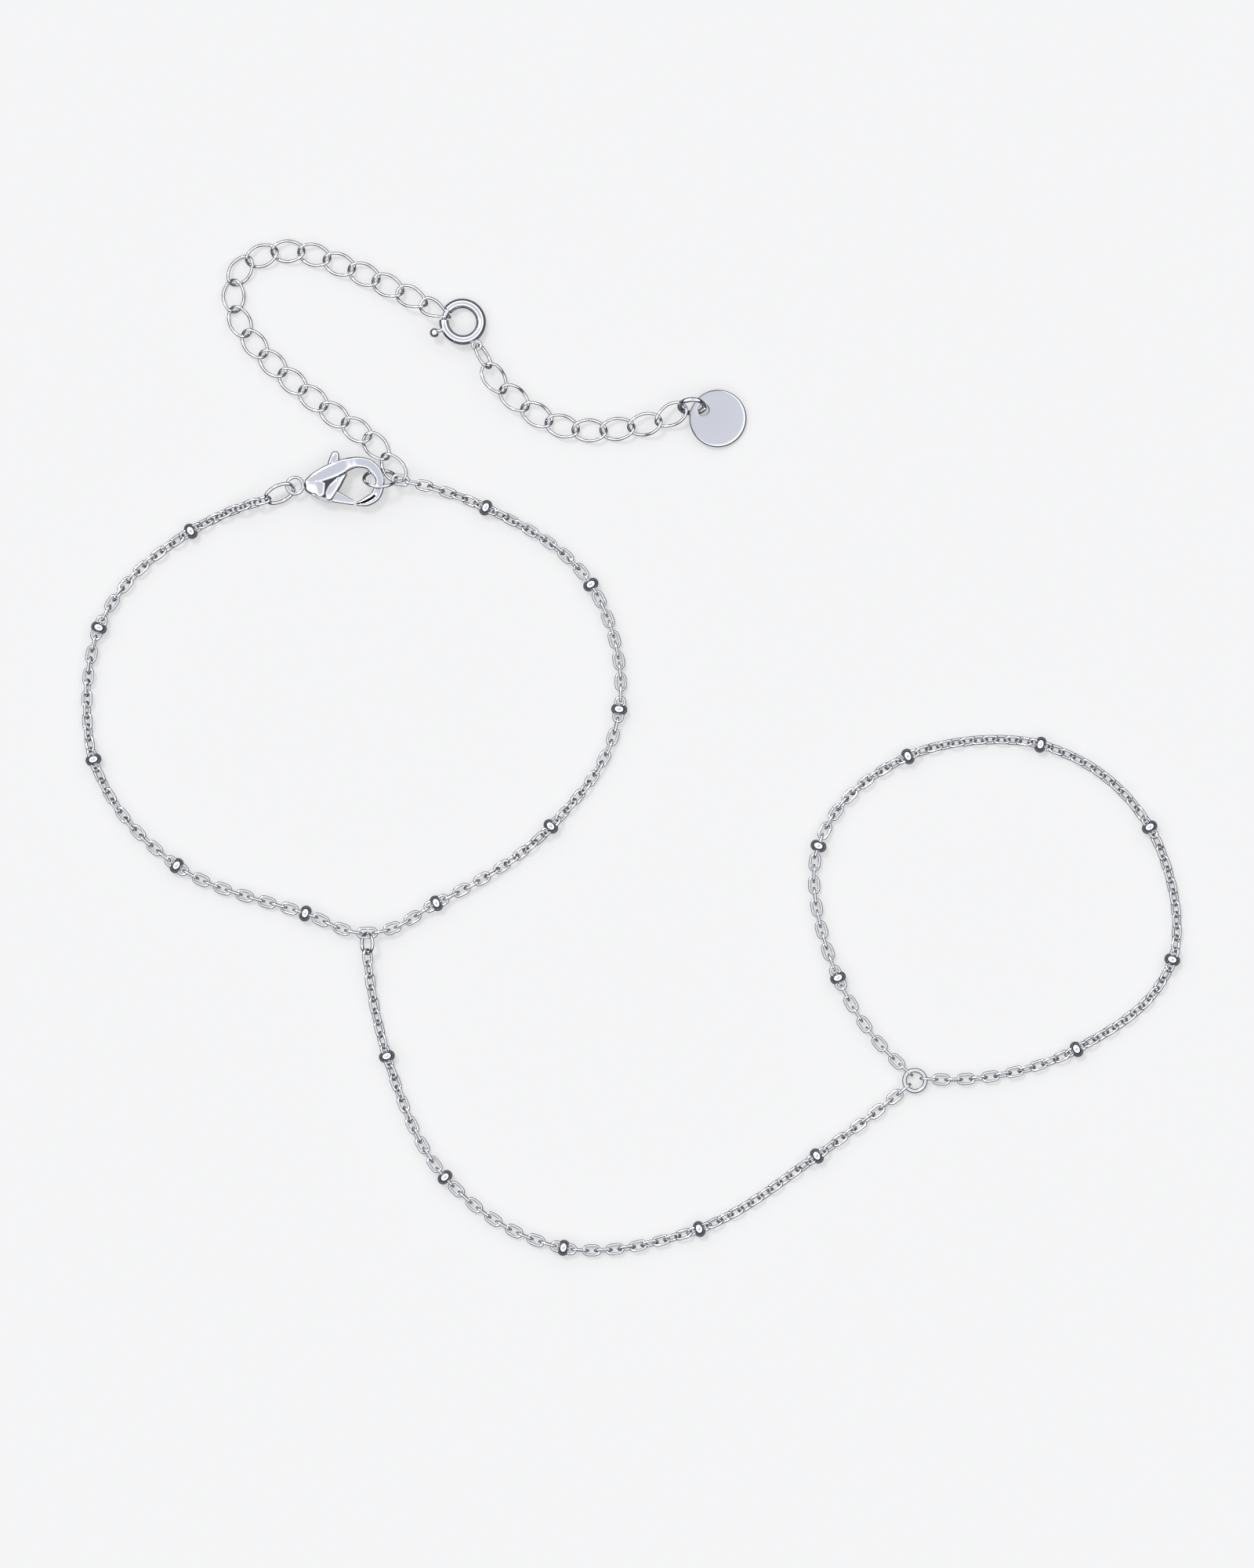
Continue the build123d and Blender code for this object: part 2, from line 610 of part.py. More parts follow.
with BuildPart() as lobster_body:
    add(clasp_plate(body_outline.sketch, BODY_THICK))
    add(clasp_plate(boss_outline.sketch, BOSS_THICK))
    for side in (-1, 1):
        with BuildSketch(Plane(clasp_base.origin, x_dir=(1, 0, 0), z_dir=(0, -1, 0))):
            with BuildLine():
                Polyline(
                    (1.75, side * BODY_THICK / 2),
                    (3.0, side * HOOK_THICK / 2),
                    (6.0, side * HOOK_THICK / 2),
                    (6.0, side * BODY_THICK),
                    (1.75, side * BODY_THICK),
                    (1.75, side * BODY_THICK / 2),
                )
            make_face()
        extrude(amount=6, both=True, mode=Mode.SUBTRACT)
    eyelet_plane = Plane(clasp_base.origin + Vector(EYELET_X, EYELET_Y, 0))
    add(round_ring(eyelet_plane, 2 * EYELET_RADIUS + EYELET_WIRE, EYELET_WIRE))
    add(clasp_plate(slot_outline.sketch, SLOT_THICK), mode=Mode.SUBTRACT)
    with BuildSketch(clasp_base.offset(-BOSS_THICK / 2)):
        Circle(PIN_RADIUS)
    extrude(amount=BOSS_THICK, mode=Mode.SUBTRACT)
save("lobster_body", lobster_body.part)

with BuildPart() as lobster_lever:
    add(clasp_plate(lever_outline.sketch, LEVER_THICK))
    with BuildSketch(clasp_base.offset(-LEVER_THICK / 2)):
        Circle(PIN_RADIUS + PIN_CLEARANCE)
    extrude(amount=LEVER_THICK, mode=Mode.SUBTRACT)
save("lobster_lever", lobster_lever.part)

with BuildPart() as lobster_pin:
    with BuildSketch(clasp_base.offset(-BOSS_THICK / 2)):
        Circle(PIN_RADIUS)
    extrude(amount=BOSS_THICK)
save("lobster_pin", lobster_pin.part)
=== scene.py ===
"""The looks of a hand chain bracelet in rhodium-plated silver, laid on a pale floor and seen from above.

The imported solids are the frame. The hand chain's tube and drilled balls give way here to its real links
and soldered balls. The other fine chains, the claw clasp, the spring ring and the tag are finer meshes in
their solids' places. Lengths in the classes are millimetres, and meshes are written in metres.
"""

import json
import logging
from dataclasses import dataclass, field
from enum import Enum

import bpy
import numpy as np
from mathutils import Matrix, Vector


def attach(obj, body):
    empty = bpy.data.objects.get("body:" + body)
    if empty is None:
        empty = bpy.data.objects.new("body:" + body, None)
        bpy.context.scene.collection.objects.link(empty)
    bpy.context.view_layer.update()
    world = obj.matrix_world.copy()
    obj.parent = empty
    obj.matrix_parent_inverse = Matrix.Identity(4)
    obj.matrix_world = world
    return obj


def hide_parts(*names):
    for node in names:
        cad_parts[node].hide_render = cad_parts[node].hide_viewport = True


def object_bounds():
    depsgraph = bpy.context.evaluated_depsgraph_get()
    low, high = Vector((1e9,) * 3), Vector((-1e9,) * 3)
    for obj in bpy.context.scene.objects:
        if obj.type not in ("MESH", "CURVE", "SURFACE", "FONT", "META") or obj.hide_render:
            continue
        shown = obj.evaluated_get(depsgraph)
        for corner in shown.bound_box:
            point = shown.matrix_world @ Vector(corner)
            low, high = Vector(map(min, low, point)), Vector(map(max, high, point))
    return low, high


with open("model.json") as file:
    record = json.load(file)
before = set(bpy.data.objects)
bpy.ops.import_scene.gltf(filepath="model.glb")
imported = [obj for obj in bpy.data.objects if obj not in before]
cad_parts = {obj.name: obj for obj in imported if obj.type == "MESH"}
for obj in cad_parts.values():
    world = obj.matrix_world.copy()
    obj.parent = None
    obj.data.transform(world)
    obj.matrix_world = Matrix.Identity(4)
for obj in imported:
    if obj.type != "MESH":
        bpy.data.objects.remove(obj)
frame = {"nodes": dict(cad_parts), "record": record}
CAD_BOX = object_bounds()

MM = 0.001
UP = np.array([0.0, 0.0, 1.0])
SHARP_FROM = np.radians(38)  # an edge whose faces turn by more than this stays crisp
LOG = logging.getLogger("bracelet")


class Slot(Enum):
    """The record's material slots."""

    CHAIN = "chain_silver"
    CLASP = "clasp_silver"
    TAG = "tag_silver"


# Meshes


@dataclass(frozen=True)
class Shape:
    """A mesh in millimetres: its points, and its faces in blocks with equal numbers of corners."""

    points: np.ndarray
    blocks: tuple[np.ndarray, ...]

    def count(self) -> int:
        """How many faces it has."""
        return sum(len(block) for block in self.blocks)

    def joined(self, *others: "Shape") -> "Shape":
        """This shape and others as one."""
        starts = np.cumsum([len(self.points), *(len(other.points) for other in others)])
        moved = [block + start for other, start in zip(others, starts) for block in other.blocks]
        return Shape(np.vstack([self.points, *(other.points for other in others)]), (*self.blocks, *moved))

    def placed(self, origin: np.ndarray, axes: np.ndarray) -> "Shape":
        """Copies of the shape, one at each place.

        A point p of the copy at place k is origin_k + p_x X_k + p_y Y_k + p_z Z_k.

        Args:
            origin: The places, k by 3.
            axes: Their X, Y and Z axes, k by 3 by 3.

        Returns:
            All the copies as one.
        """
        every = origin[:, None] + np.einsum("ma,kab->kmb", self.points, axes)
        starts = len(self.points) * np.arange(len(origin))[:, None, None]
        blocks = tuple((block[None] + starts).reshape(-1, block.shape[1]) for block in self.blocks)
        return Shape(every.reshape(-1, 3), blocks)

    def outward(self) -> "Shape":
        """The shape with faces that point out, by the sign of the volume that they close.

        The volume is a sixth of the sum of a . (b x c) over the triangles a, b, c of each face's fan.
        """
        volume = 0.0
        for block in self.blocks:
            first = self.points[block[:, 0]]
            for k in range(1, block.shape[1] - 1):
                second, third = self.points[block[:, k]], self.points[block[:, k + 1]]
                volume += float((first * np.cross(second, third)).sum())
        return self if volume > 0 else Shape(self.points, tuple(block[:, ::-1] for block in self.blocks))


def grid_faces(rows: int, sides: int, closed: bool = True) -> np.ndarray:
    """The four-cornered faces of a grid whose rows' points run round.

    Args:
        rows: How many rows it has.
        sides: How many points a row has.
        closed: Whether the last row joins the first.

    Returns:
        The faces, n by 4.
    """
    i, j = np.meshgrid(np.arange(rows if closed else rows - 1), np.arange(sides), indexing="ij")
    here, there, after = i * sides, (i + 1) % rows * sides, (j + 1) % sides
    return np.stack([here + j, here + after, there + after, there + j], -1).reshape(-1, 4)


def sweep_closed(centre: np.ndarray, out: np.ndarray, up: np.ndarray, radius: float, sides: int) -> Shape:
    """A round section carried along a closed path.

    The point at turn v of the section at path point i is centre_i + radius (cos v out_i + sin v up_i).

    Args:
        centre: The path's points, n by 3.
        out: For each, a unit vector across the path.
        up: For each, the unit vector across both.
        radius: The section's radius.
        sides: How many points a section has.

    Returns:
        The closed tube.
    """
    turn = np.linspace(0, 2 * np.pi, sides, endpoint=False)
    points = centre[:, None] + radius * (
        np.cos(turn)[None, :, None] * out[:, None] + np.sin(turn)[None, :, None] * up[:, None]
    )
    return Shape(points.reshape(-1, 3), (grid_faces(len(centre), sides),))


def wire_ring(
    middle: np.ndarray,
    across: np.ndarray,
    aside: np.ndarray,
    bend: float,
    wire: float,
    steps: int,
    sides: int,
) -> Shape:
    """A round ring of wire, whose centre line at turn t is middle + bend (cos t across + sin t aside).

    Args:
        middle: Its middle.
        across: A unit vector in its plane.
        aside: Another, square to it.
        bend: The centre line's radius.
        wire: The wire's thickness.
        steps: How many points the centre line has.
        sides: How many points the wire's section has.

    Returns:
        The ring.
    """
    turn = np.linspace(0, 2 * np.pi, steps, endpoint=False)[:, None]
    out = np.cos(turn) * across + np.sin(turn) * aside
    up = np.broadcast_to(np.cross(across, aside), out.shape)
    return sweep_closed(middle + bend * out, out, up, wire / 2, sides).outward()


def racetrack(length: float, width: float, wire: float, arc_points: int, sides: int) -> Shape:
    """A flat link of round wire with straight sides, its length along X.

    Its centre line is two straight runs, (length - width) long, joined by half circles of radius
    (width - wire) / 2.

    Args:
        length: Over all.
        width: Over all.
        wire: The wire's thickness.
        arc_points: How many points each half circle has.
        sides: How many points the wire's section has.

    Returns:
        The link.
    """
    run, bend = (length - width) / 2, (width - wire) / 2
    turn = np.linspace(-np.pi / 2, np.pi / 2, arc_points)
    turn = np.concatenate([turn, turn + np.pi])
    out = np.stack([np.cos(turn), np.sin(turn), np.zeros_like(turn)], -1)
    shift = np.where(np.arange(len(turn)) < arc_points, run, -run)
    centre = out * bend + shift[:, None] * np.array([1.0, 0, 0])
    return sweep_closed(centre, out, np.broadcast_to(UP, out.shape), wire / 2, sides)


def spun(profile: np.ndarray, sides: int) -> Shape:
    """A profile turned about the X axis, with a pole at its first and last point.

    The point at turn v of the profile point (x, r) is (x, r cos v, r sin v).

    Args:
        profile: Points (x, r), from the pole at +X to the pole at -X, n by 2.
        sides: How many points the turn has.

    Returns:
        The turned shape, with three-cornered faces at the poles.
    """
    turn = np.linspace(0, 2 * np.pi, sides, endpoint=False)
    inner = profile[1:-1]
    ring = np.stack(
        [
            np.repeat(inner[:, 0], sides),
            np.outer(inner[:, 1], np.cos(turn)).ravel(),
            np.outer(inner[:, 1], np.sin(turn)).ravel(),
        ],
        -1,
    )
    poles = np.array([[profile[0, 0], 0, 0], [profile[-1, 0], 0, 0]])
    quads = grid_faces(len(inner), sides, closed=False)[:, [0, 3, 2, 1]]
    k = np.arange(sides)
    k2 = (k + 1) % sides
    near = np.stack([np.full(sides, len(ring)), k, k2], -1)
    base = (len(inner) - 1) * sides
    far = np.stack([np.full(sides, len(ring) + 1), base + k2, base + k], -1)
    return Shape(np.concatenate([ring, poles]), (quads, near, far))


def make_piece(name: str, shape: Shape, body: str) -> bpy.types.Object:
    """A smooth-shaded mesh in metres that rides on a body.

    Args:
        name: The piece's name.
        shape: Its shape.
        body: The body that it rides on.

    Returns:
        The new object.
    """
    mesh = bpy.data.meshes.new(name)
    faces = [face for block in shape.blocks for face in block.tolist()]
    mesh.from_pydata((shape.points * MM).tolist(), [], faces)
    mesh.polygons.foreach_set("use_smooth", np.ones(len(mesh.polygons), bool))
    mesh.update()
    piece = bpy.data.objects.new(name, mesh)
    bpy.context.scene.collection.objects.link(piece)
    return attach(piece, body)


# Finishes


def polish_group() -> bpy.types.NodeTree:
    """The marks of a buffed and plated surface: a faint veil of colour, uneven gloss and soft ripples.

    Returns:
        The node group, with inputs Colour, Roughness, Veil, Size and Depth, and outputs Colour,
        Roughness and Normal.
    """
    group = bpy.data.node_groups.new("polish_marks", "ShaderNodeTree")
    for label, kind, value in (
        ("Colour", "NodeSocketColor", (0.9, 0.9, 0.92, 1)),
        ("Roughness", "NodeSocketFloat", 0.08),
        ("Veil", "NodeSocketFloat", 0.04),
        ("Size", "NodeSocketFloat", 900.0),
        ("Depth", "NodeSocketFloat", 0.00001),
    ):
        group.interface.new_socket(label, in_out="INPUT", socket_type=kind).default_value = value
    for label, kind in (("Colour", "Color"), ("Roughness", "Float"), ("Normal", "Vector")):
        group.interface.new_socket(label, in_out="OUTPUT", socket_type=f"NodeSocket{kind}")
    nodes, links = group.nodes, group.links
    given = nodes.new("NodeGroupInput")
    made = nodes.new("NodeGroupOutput")
    place = nodes.new("ShaderNodeTexCoord")
    ripple = nodes.new("ShaderNodeTexNoise")
    ripple.inputs["Detail"].default_value = 3.0
    links.new(place.outputs["Object"], ripple.inputs["Vector"])
    links.new(given.outputs["Size"], ripple.inputs["Scale"])
    darker = nodes.new("ShaderNodeMath")
    darker.operation = "MULTIPLY"
    links.new(ripple.outputs["Fac"], darker.inputs[0])
    links.new(given.outputs["Veil"], darker.inputs[1])
    left = nodes.new("ShaderNodeMath")
    left.operation = "SUBTRACT"
    left.inputs[0].default_value = 1.0
    links.new(darker.outputs[0], left.inputs[1])
    tint = nodes.new("ShaderNodeVectorMath")
    tint.operation = "SCALE"
    links.new(given.outputs["Colour"], tint.inputs[0])
    links.new(left.outputs[0], tint.inputs["Scale"])
    links.new(tint.outputs[0], made.inputs["Colour"])
    gloss = nodes.new("ShaderNodeMath")
    gloss.operation = "MULTIPLY_ADD"
    links.new(darker.outputs[0], gloss.inputs[0])
    gloss.inputs[1].default_value = 0.8
    links.new(given.outputs["Roughness"], gloss.inputs[2])
    links.new(gloss.outputs[0], made.inputs["Roughness"])
    bump = nodes.new("ShaderNodeBump")
    bump.inputs["Strength"].default_value = 1.0
    links.new(ripple.outputs["Fac"], bump.inputs["Height"])
    links.new(given.outputs["Depth"], bump.inputs["Distance"])
    links.new(bump.outputs["Normal"], made.inputs["Normal"])
    return group


@dataclass(frozen=True)
class SilverFinish:
    """Rhodium-plated silver: its colour, gloss and polishing marks, with the marks' size per metre."""

    name: str
    colour: tuple[float, float, float]
    roughness: float
    veil: float
    size: float
    depth: float

    def build(self, marks: bpy.types.NodeTree) -> bpy.types.Material:
        """The finish as a material.

        Args:
            marks: The group of polishing marks.

        Returns:
            The material.
        """
        material = bpy.data.materials.new(self.name)
        material.use_nodes = True
        nodes, links = material.node_tree.nodes, material.node_tree.links
        shader = nodes["Principled BSDF"]
        shader.inputs["Metallic"].default_value = 1.0
        polish = nodes.new("ShaderNodeGroup")
        polish.node_tree = marks
        polish.inputs["Colour"].default_value = (*self.colour, 1)
        polish.inputs["Roughness"].default_value = self.roughness
        polish.inputs["Veil"].default_value = self.veil
        polish.inputs["Size"].default_value = self.size
        polish.inputs["Depth"].default_value = self.depth
        links.new(polish.outputs["Colour"], shader.inputs["Base Color"])
        links.new(polish.outputs["Roughness"], shader.inputs["Roughness"])
        links.new(polish.outputs["Normal"], shader.inputs["Normal"])
        return material


FINISHES = {
    Slot.CHAIN: SilverFinish("plated_wire", (0.90, 0.905, 0.93), 0.06, 0.06, 1500.0, 0.000004),
    Slot.CLASP: SilverFinish("plated_casting", (0.90, 0.905, 0.93), 0.07, 0.05, 500.0, 0.000006),
    Slot.TAG: SilverFinish("plated_plate", (0.83, 0.835, 0.865), 0.12, 0.05, 260.0, 0.000003),
}
# Near-black metal for the clasp's slot and the deep part of its back's crease: painted shade
SHADE_PAINT_FINISH = SilverFinish("shade_paint_metal", (0.07, 0.07, 0.085), 0.45, 0.10, 700.0, 0.000004)


def dress(piece: bpy.types.Object, material: bpy.types.Material) -> None:
    """Gives a piece one material."""
    piece.data.materials.clear()
    piece.data.materials.append(material)


# The fine chains

# Where the middle of the whole outline falls in the layout's coordinates
LAYOUT_MIDDLE = np.array([-0.151, 0.378])


@dataclass(frozen=True)
class Stop:
    """A place on a fine chain in the layout: x, y, plain links to the next stop, roll, and height."""

    x: float
    y: float
    links: int
    roll: float
    z: float


@dataclass(frozen=True)
class ChainSizes:
    """The sizes of the cable chain and of its balls, and the plays between them."""

    link_length: float = 2.0
    link_width: float = 1.24
    wire: float = 0.28
    ball_across: float = 1.7
    ball_along: float = 1.16
    ball_link_length: float = 2.88
    long_link_length: float = 2.25
    play: float = 0.1
    ball_play: float = 0.16
    floor_play: float = 0.02
    slope_step: float = 0.2
    ball_span: float = 2.8
    end_span: float = 6.5
    arc_points: int = 7
    wire_sides: int = 8
    ball_sides: int = 28
    ball_rows: int = 13

    def ring_hold(self, ring_wire: float) -> float:
        """From the middle of a ring's wire to the middle of the link on it."""
        return (self.link_length - self.wire) / 2 - ring_wire / 2 - self.wire / 2 - self.play

    def ball_hold(self) -> float:
        """From a ball's middle to the middle of the next link."""
        return self.ball_along / 2 + self.ball_play + self.link_length / 2

    def long_link_hold(self) -> float:
        """From the long link's middle to the middle of the next link."""
        return (self.link_length + self.long_link_length) / 2 - 2 * self.wire - self.play

    def lying(self, roll: np.ndarray) -> np.ndarray:
        """The height of a lying link's middle.

        Half the distance between its wires, times the larger of the roll's sine and cosine, plus half a
        wire and the play over the floor.

        Args:
            roll: The rolls in degrees.

        Returns:
            The heights.
        """
        turned = np.radians(roll)
        steep = np.maximum(np.abs(np.sin(turned)), np.abs(np.cos(turned)))
        return (self.link_width - self.wire) / 2 * steep + self.wire / 2 + self.floor_play

    def ball_profile(self) -> np.ndarray:
        """A ball's half section: a circle as wide as the ball is long, carried out from the axis."""
        bend = self.ball_along / 2
        turn = np.linspace(0, np.pi, self.ball_rows)
        rim = np.column_stack([bend * np.cos(turn), self.ball_across / 2 - bend + bend * np.sin(turn)])
        return np.vstack([[bend, 0], rim, [-bend, 0]])

    def link(self, length: float) -> Shape:
        """A flat link of a length."""
        return racetrack(length, self.link_width, self.wire, self.arc_points, self.wire_sides)

    def ball_on_link(self) -> Shape:
        """A ball soldered on a link of its own."""
        return self.link(self.ball_link_length).joined(spun(self.ball_profile(), self.ball_sides))


def smooth_stretches(points: np.ndarray, steps: int = 240) -> tuple[list[np.ndarray], np.ndarray]:
    """Smooth level stretches through points, by Hermite's cubic.

    With a, b two points and u, v the line's slopes there, the place at t is
    (2t^3 - 3t^2 + 1) a + (t^3 - 2t^2 + t) u + (3t^2 - 2t^3) b + (t^3 - t^2) v. The direction at a
    point is the mean of its two chords' directions, each weighed by the other's length. A slope is
    that direction, scaled so that the sizes of its x and y add up to those of the chord.

    Args:
        points: The points, n by 2.
        steps: How many places each stretch has.

    Returns:
        The stretches, each steps by 2, and the directions at the points.
    """
    chords = np.diff(points, axis=0)
    sizes = np.linalg.norm(chords, axis=1)
    units = chords / sizes[:, None]
    inner = units[:-1] * sizes[1:, None] + units[1:] * sizes[:-1, None]
    inner /= np.linalg.norm(inner, axis=1)[:, None]
    ways = np.vstack([2 * units[0] - inner[0], inner, 2 * units[-1] - inner[-1]])
    ways /= np.linalg.norm(ways, axis=1)[:, None]
    reach = np.abs(chords).sum(1)
    spread = np.abs(ways).sum(1)
    t = np.linspace(0, 1, steps)[:, None]
    lines = [
        (2 * t**3 - 3 * t**2 + 1) * points[k]
        + (t**3 - 2 * t**2 + t) * reach[k] / spread[k] * ways[k]
        + (3 * t**2 - 2 * t**3) * points[k + 1]
        + (t**3 - t**2) * reach[k] / spread[k + 1] * ways[k + 1]
        for k in range(len(sizes))
    ]
    return lines, ways


def rolled_axes(along: np.ndarray, roll: np.ndarray) -> np.ndarray:
    """The axes of links along given ways, rolled about them from lying flat.

    X is the way, the side is up x X and above is X x side. Y is side cos roll + above sin roll, and Z
    is above cos roll - side sin roll.

    Args:
        along: The ways, k by 3.
        roll: The rolls in degrees.

    Returns:
        The axes, k by 3 by 3.
    """
    x = along / np.linalg.norm(along, axis=1)[:, None]
    side = np.cross(UP, x)
    side /= np.linalg.norm(side, axis=1)[:, None]
    above = np.cross(x, side)
    c, s = np.cos(np.radians(roll))[:, None], np.sin(np.radians(roll))[:, None]
    return np.stack([x, side * c + above * s, above * c - side * s], 1)


@dataclass
class FineChain:
    """A cable chain between two rings, with a soldered ball or the long link at each stop between them."""

    stops: tuple[Stop, ...]
    start_wire: float
    end_wire: float
    ball_nodes: tuple[str, ...]
    long_link_at: int = 0
    sizes: ChainSizes = field(default_factory=ChainSizes)
    pieces: list[bpy.types.Object] = field(default_factory=list)

    def places(self) -> tuple[list, list]:
        """Where every link and ball lies.

        The links of a stretch are evenly spaced, turned by a quarter from one to the next. The chain's
        height is that of a lying link, with a cosine hump at each stop.

        Returns:
            For each stretch its links' origins and axes, and the same for each stop between the ends.
        """
        sizes, stops = self.sizes, self.stops
        lines, ways = smooth_stretches(np.array([(s.x, s.y) for s in stops]) - LAYOUT_MIDDLE)
        inner = len(stops) - 2
        first, last = sizes.ring_hold(self.start_wire), sizes.ring_hold(self.end_wire)
        holds = [first, *[sizes.ball_hold()] * inner, last]
        spans = [sizes.end_span, *[sizes.ball_span] * inner, sizes.end_span]
        if self.long_link_at:
            holds[self.long_link_at] = sizes.long_link_hold()
            spans[self.long_link_at] = sizes.end_span
        turn, links, knots = 0, [], []
        for k, line in enumerate(lines):
            here, there = stops[k], stops[k + 1]
            s = np.concatenate([[0], np.cumsum(np.linalg.norm(np.diff(line, axis=0), axis=1))])
            whole = s[-1]
            roll = here.roll + (there.roll - here.roll) * s / whole
            rest = sizes.lying(np.array([here.roll, there.roll]))
            level = sizes.lying(roll)
            level += (here.z - rest[0]) * (1 + np.cos(np.pi * np.minimum(s / spans[k], 1))) / 2
            level += (there.z - rest[1]) * (1 + np.cos(np.pi * np.minimum((whole - s) / spans[k + 1], 1))) / 2
            path = np.column_stack([line, level])
            at = np.linspace(holds[k], whole - holds[k + 1], here.links)
            middle, before, after = (
                np.column_stack([np.interp(at + d, s, path[:, c]) for c in range(3)])
                for d in (0, -sizes.slope_step, sizes.slope_step)
            )
            turns = np.interp(at, s, roll) + 90 * ((turn + np.arange(here.links)) % 2)
            links.append((middle, rolled_axes(after - before, turns)))
            turn = (turn + here.links) % 2
            if k < inner:
                way = np.array([[*ways[k + 1], 0.0]])
                knots.append((path[-1:], rolled_axes(way, np.array([there.roll + 90.0 * turn]))))
                turn = 1 - turn
        return links, knots

    def chain_piece(self, name: str, node: str, groups: list, long_link: tuple | None = None) -> None:
        """Makes the plain links of some stretches as one piece.

        Args:
            name: The piece's name.
            node: The node that it stands for.
            groups: The links' origins and axes, stretch by stretch.
            long_link: The origin and axes of the long link, if it belongs to them.
        """
        origin, axes = (np.concatenate([g[c] for g in groups]) for c in (0, 1))
        shape = self.sizes.link(self.sizes.link_length).placed(origin, axes)
        if long_link:
            shape = shape.joined(self.sizes.link(self.sizes.long_link_length).placed(*long_link))
        self.add(make_piece(name, shape, "bracelet"), node)

    def ball_pieces(self, knots: list) -> None:
        """Makes each ball with its link as one piece, in place of its solid."""
        shape = self.sizes.ball_on_link()
        for node, place in zip(self.ball_nodes, knots):
            self.add(make_piece(f"{node}_soldered", shape.placed(*place), "bracelet"), node)

    def add(self, piece: bpy.types.Object, node: str) -> None:
        """Keeps a piece that stands for a node."""
        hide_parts(node)
        self.pieces.append(piece)

    def dress(self, material: bpy.types.Material) -> None:
        """Gives the links and balls their finish."""
        for piece in self.pieces:
            dress(piece, material)


BALL_TOP = ChainSizes.ball_across / 2  # the height of a chain at a ball that lies on the floor


@dataclass
class WristChain(FineChain):
    """The wrist chain: ten balls, and the long link that the hand chain's ring hangs on."""

    stops: tuple[Stop, ...] = (
        Stop(-38.28, 26.28, 7, 50, 1.3),
        Stop(-46.19, 22.99, 10, 45, BALL_TOP),
        Stop(-55.78, 12.91, 10, 0, BALL_TOP),
        Stop(-56.35, -0.86, 10, 45, BALL_TOP),
        Stop(-47.66, -11.93, 10, 0, BALL_TOP),
        Stop(-34.22, -16.93, 4, 0, BALL_TOP),
        Stop(-27.75, -18.95, 5, 0, 1.06),
        Stop(-20.53, -15.86, 10, 0, BALL_TOP),
        Stop(-8.57, -7.83, 10, 45, BALL_TOP),
        Stop(-1.43, 4.39, 10, 0, BALL_TOP),
        Stop(-4.39, 17.42, 10, 0, BALL_TOP),
        Stop(-15.37, 25.45, 7, 45, BALL_TOP),
        Stop(-24.72, 28.38, 0, 83, 1.755),
    )
    start_wire: float = 0.37
    end_wire: float = 0.34
    ball_nodes: tuple[str, ...] = tuple(
        f"wrist_ball_{side}_{n}" for side in ("left", "right") for n in range(1, 6)
    )
    long_link_at: int = 6

    def build(self) -> None:
        """Makes the two halves of the chain and the balls."""
        links, knots = self.places()
        long_link = knots.pop(self.long_link_at - 1)
        self.chain_piece("wrist_chain_left_links", "wrist_chain_left", links[: self.long_link_at], long_link)
        self.chain_piece("wrist_chain_right_links", "wrist_chain_right", links[self.long_link_at :])
        self.ball_pieces(knots)


@dataclass
class FingerChain(FineChain):
    """The finger loop: seven balls, both ends on one ring."""

    stops: tuple[Stop, ...] = (
        Stop(28.81, -33.51, 9, 90, 0.62),
        Stop(21.43, -23.65, 10, 90, BALL_TOP),
        Stop(19.39, -9.88, 10, 90, BALL_TOP),
        Stop(28.73, -0.53, 10, 45, BALL_TOP),
        Stop(42.58, 0.70, 10, 45, BALL_TOP),
        Stop(53.98, -7.91, 10, 45, BALL_TOP),
        Stop(56.35, -21.76, 10, 45, BALL_TOP),
        Stop(46.35, -31.11, 12, 45, BALL_TOP),
        Stop(30.55, -34.18, 0, 0, 0.62),
    )
    start_wire: float = 0.45
    end_wire: float = 0.45
    ball_nodes: tuple[str, ...] = tuple(f"finger_ball_{n}" for n in range(1, 8))

    def build(self) -> None:
        """Makes the loop and its balls."""
        links, knots = self.places()
        self.chain_piece("finger_chain_links", "finger_chain", links)
        self.ball_pieces(knots)


@dataclass
class HandChain(FineChain):
    """The strand from the wrist chain to the finger loop, in place of a tube and five drilled balls."""

    stops: tuple[Stop, ...] = (
        Stop(-27.75, -21.10, 8, -34, 1.06),
        Stop(-25.70, -31.84, 10, -45, BALL_TOP),
        Stop(-19.63, -44.47, 10, 0, BALL_TOP),
        Stop(-7.25, -51.84, 10, 0, BALL_TOP),
        Stop(6.93, -49.88, 10, -45, BALL_TOP),
        Stop(19.22, -42.25, 9, -45, BALL_TOP),
        Stop(28.60, -35.06, 0, 0, 0.62),
    )
    start_wire: float = 0.35
    end_wire: float = 0.45
    ball_nodes: tuple[str, ...] = tuple(f"hand_ball_{n}" for n in range(1, 6))

    def build(self) -> None:
        """Makes the strand and its balls."""
        links, knots = self.places()
        self.chain_piece("hand_chain_links", "hand_chain", links)
        self.ball_pieces(knots)


# The claw clasp


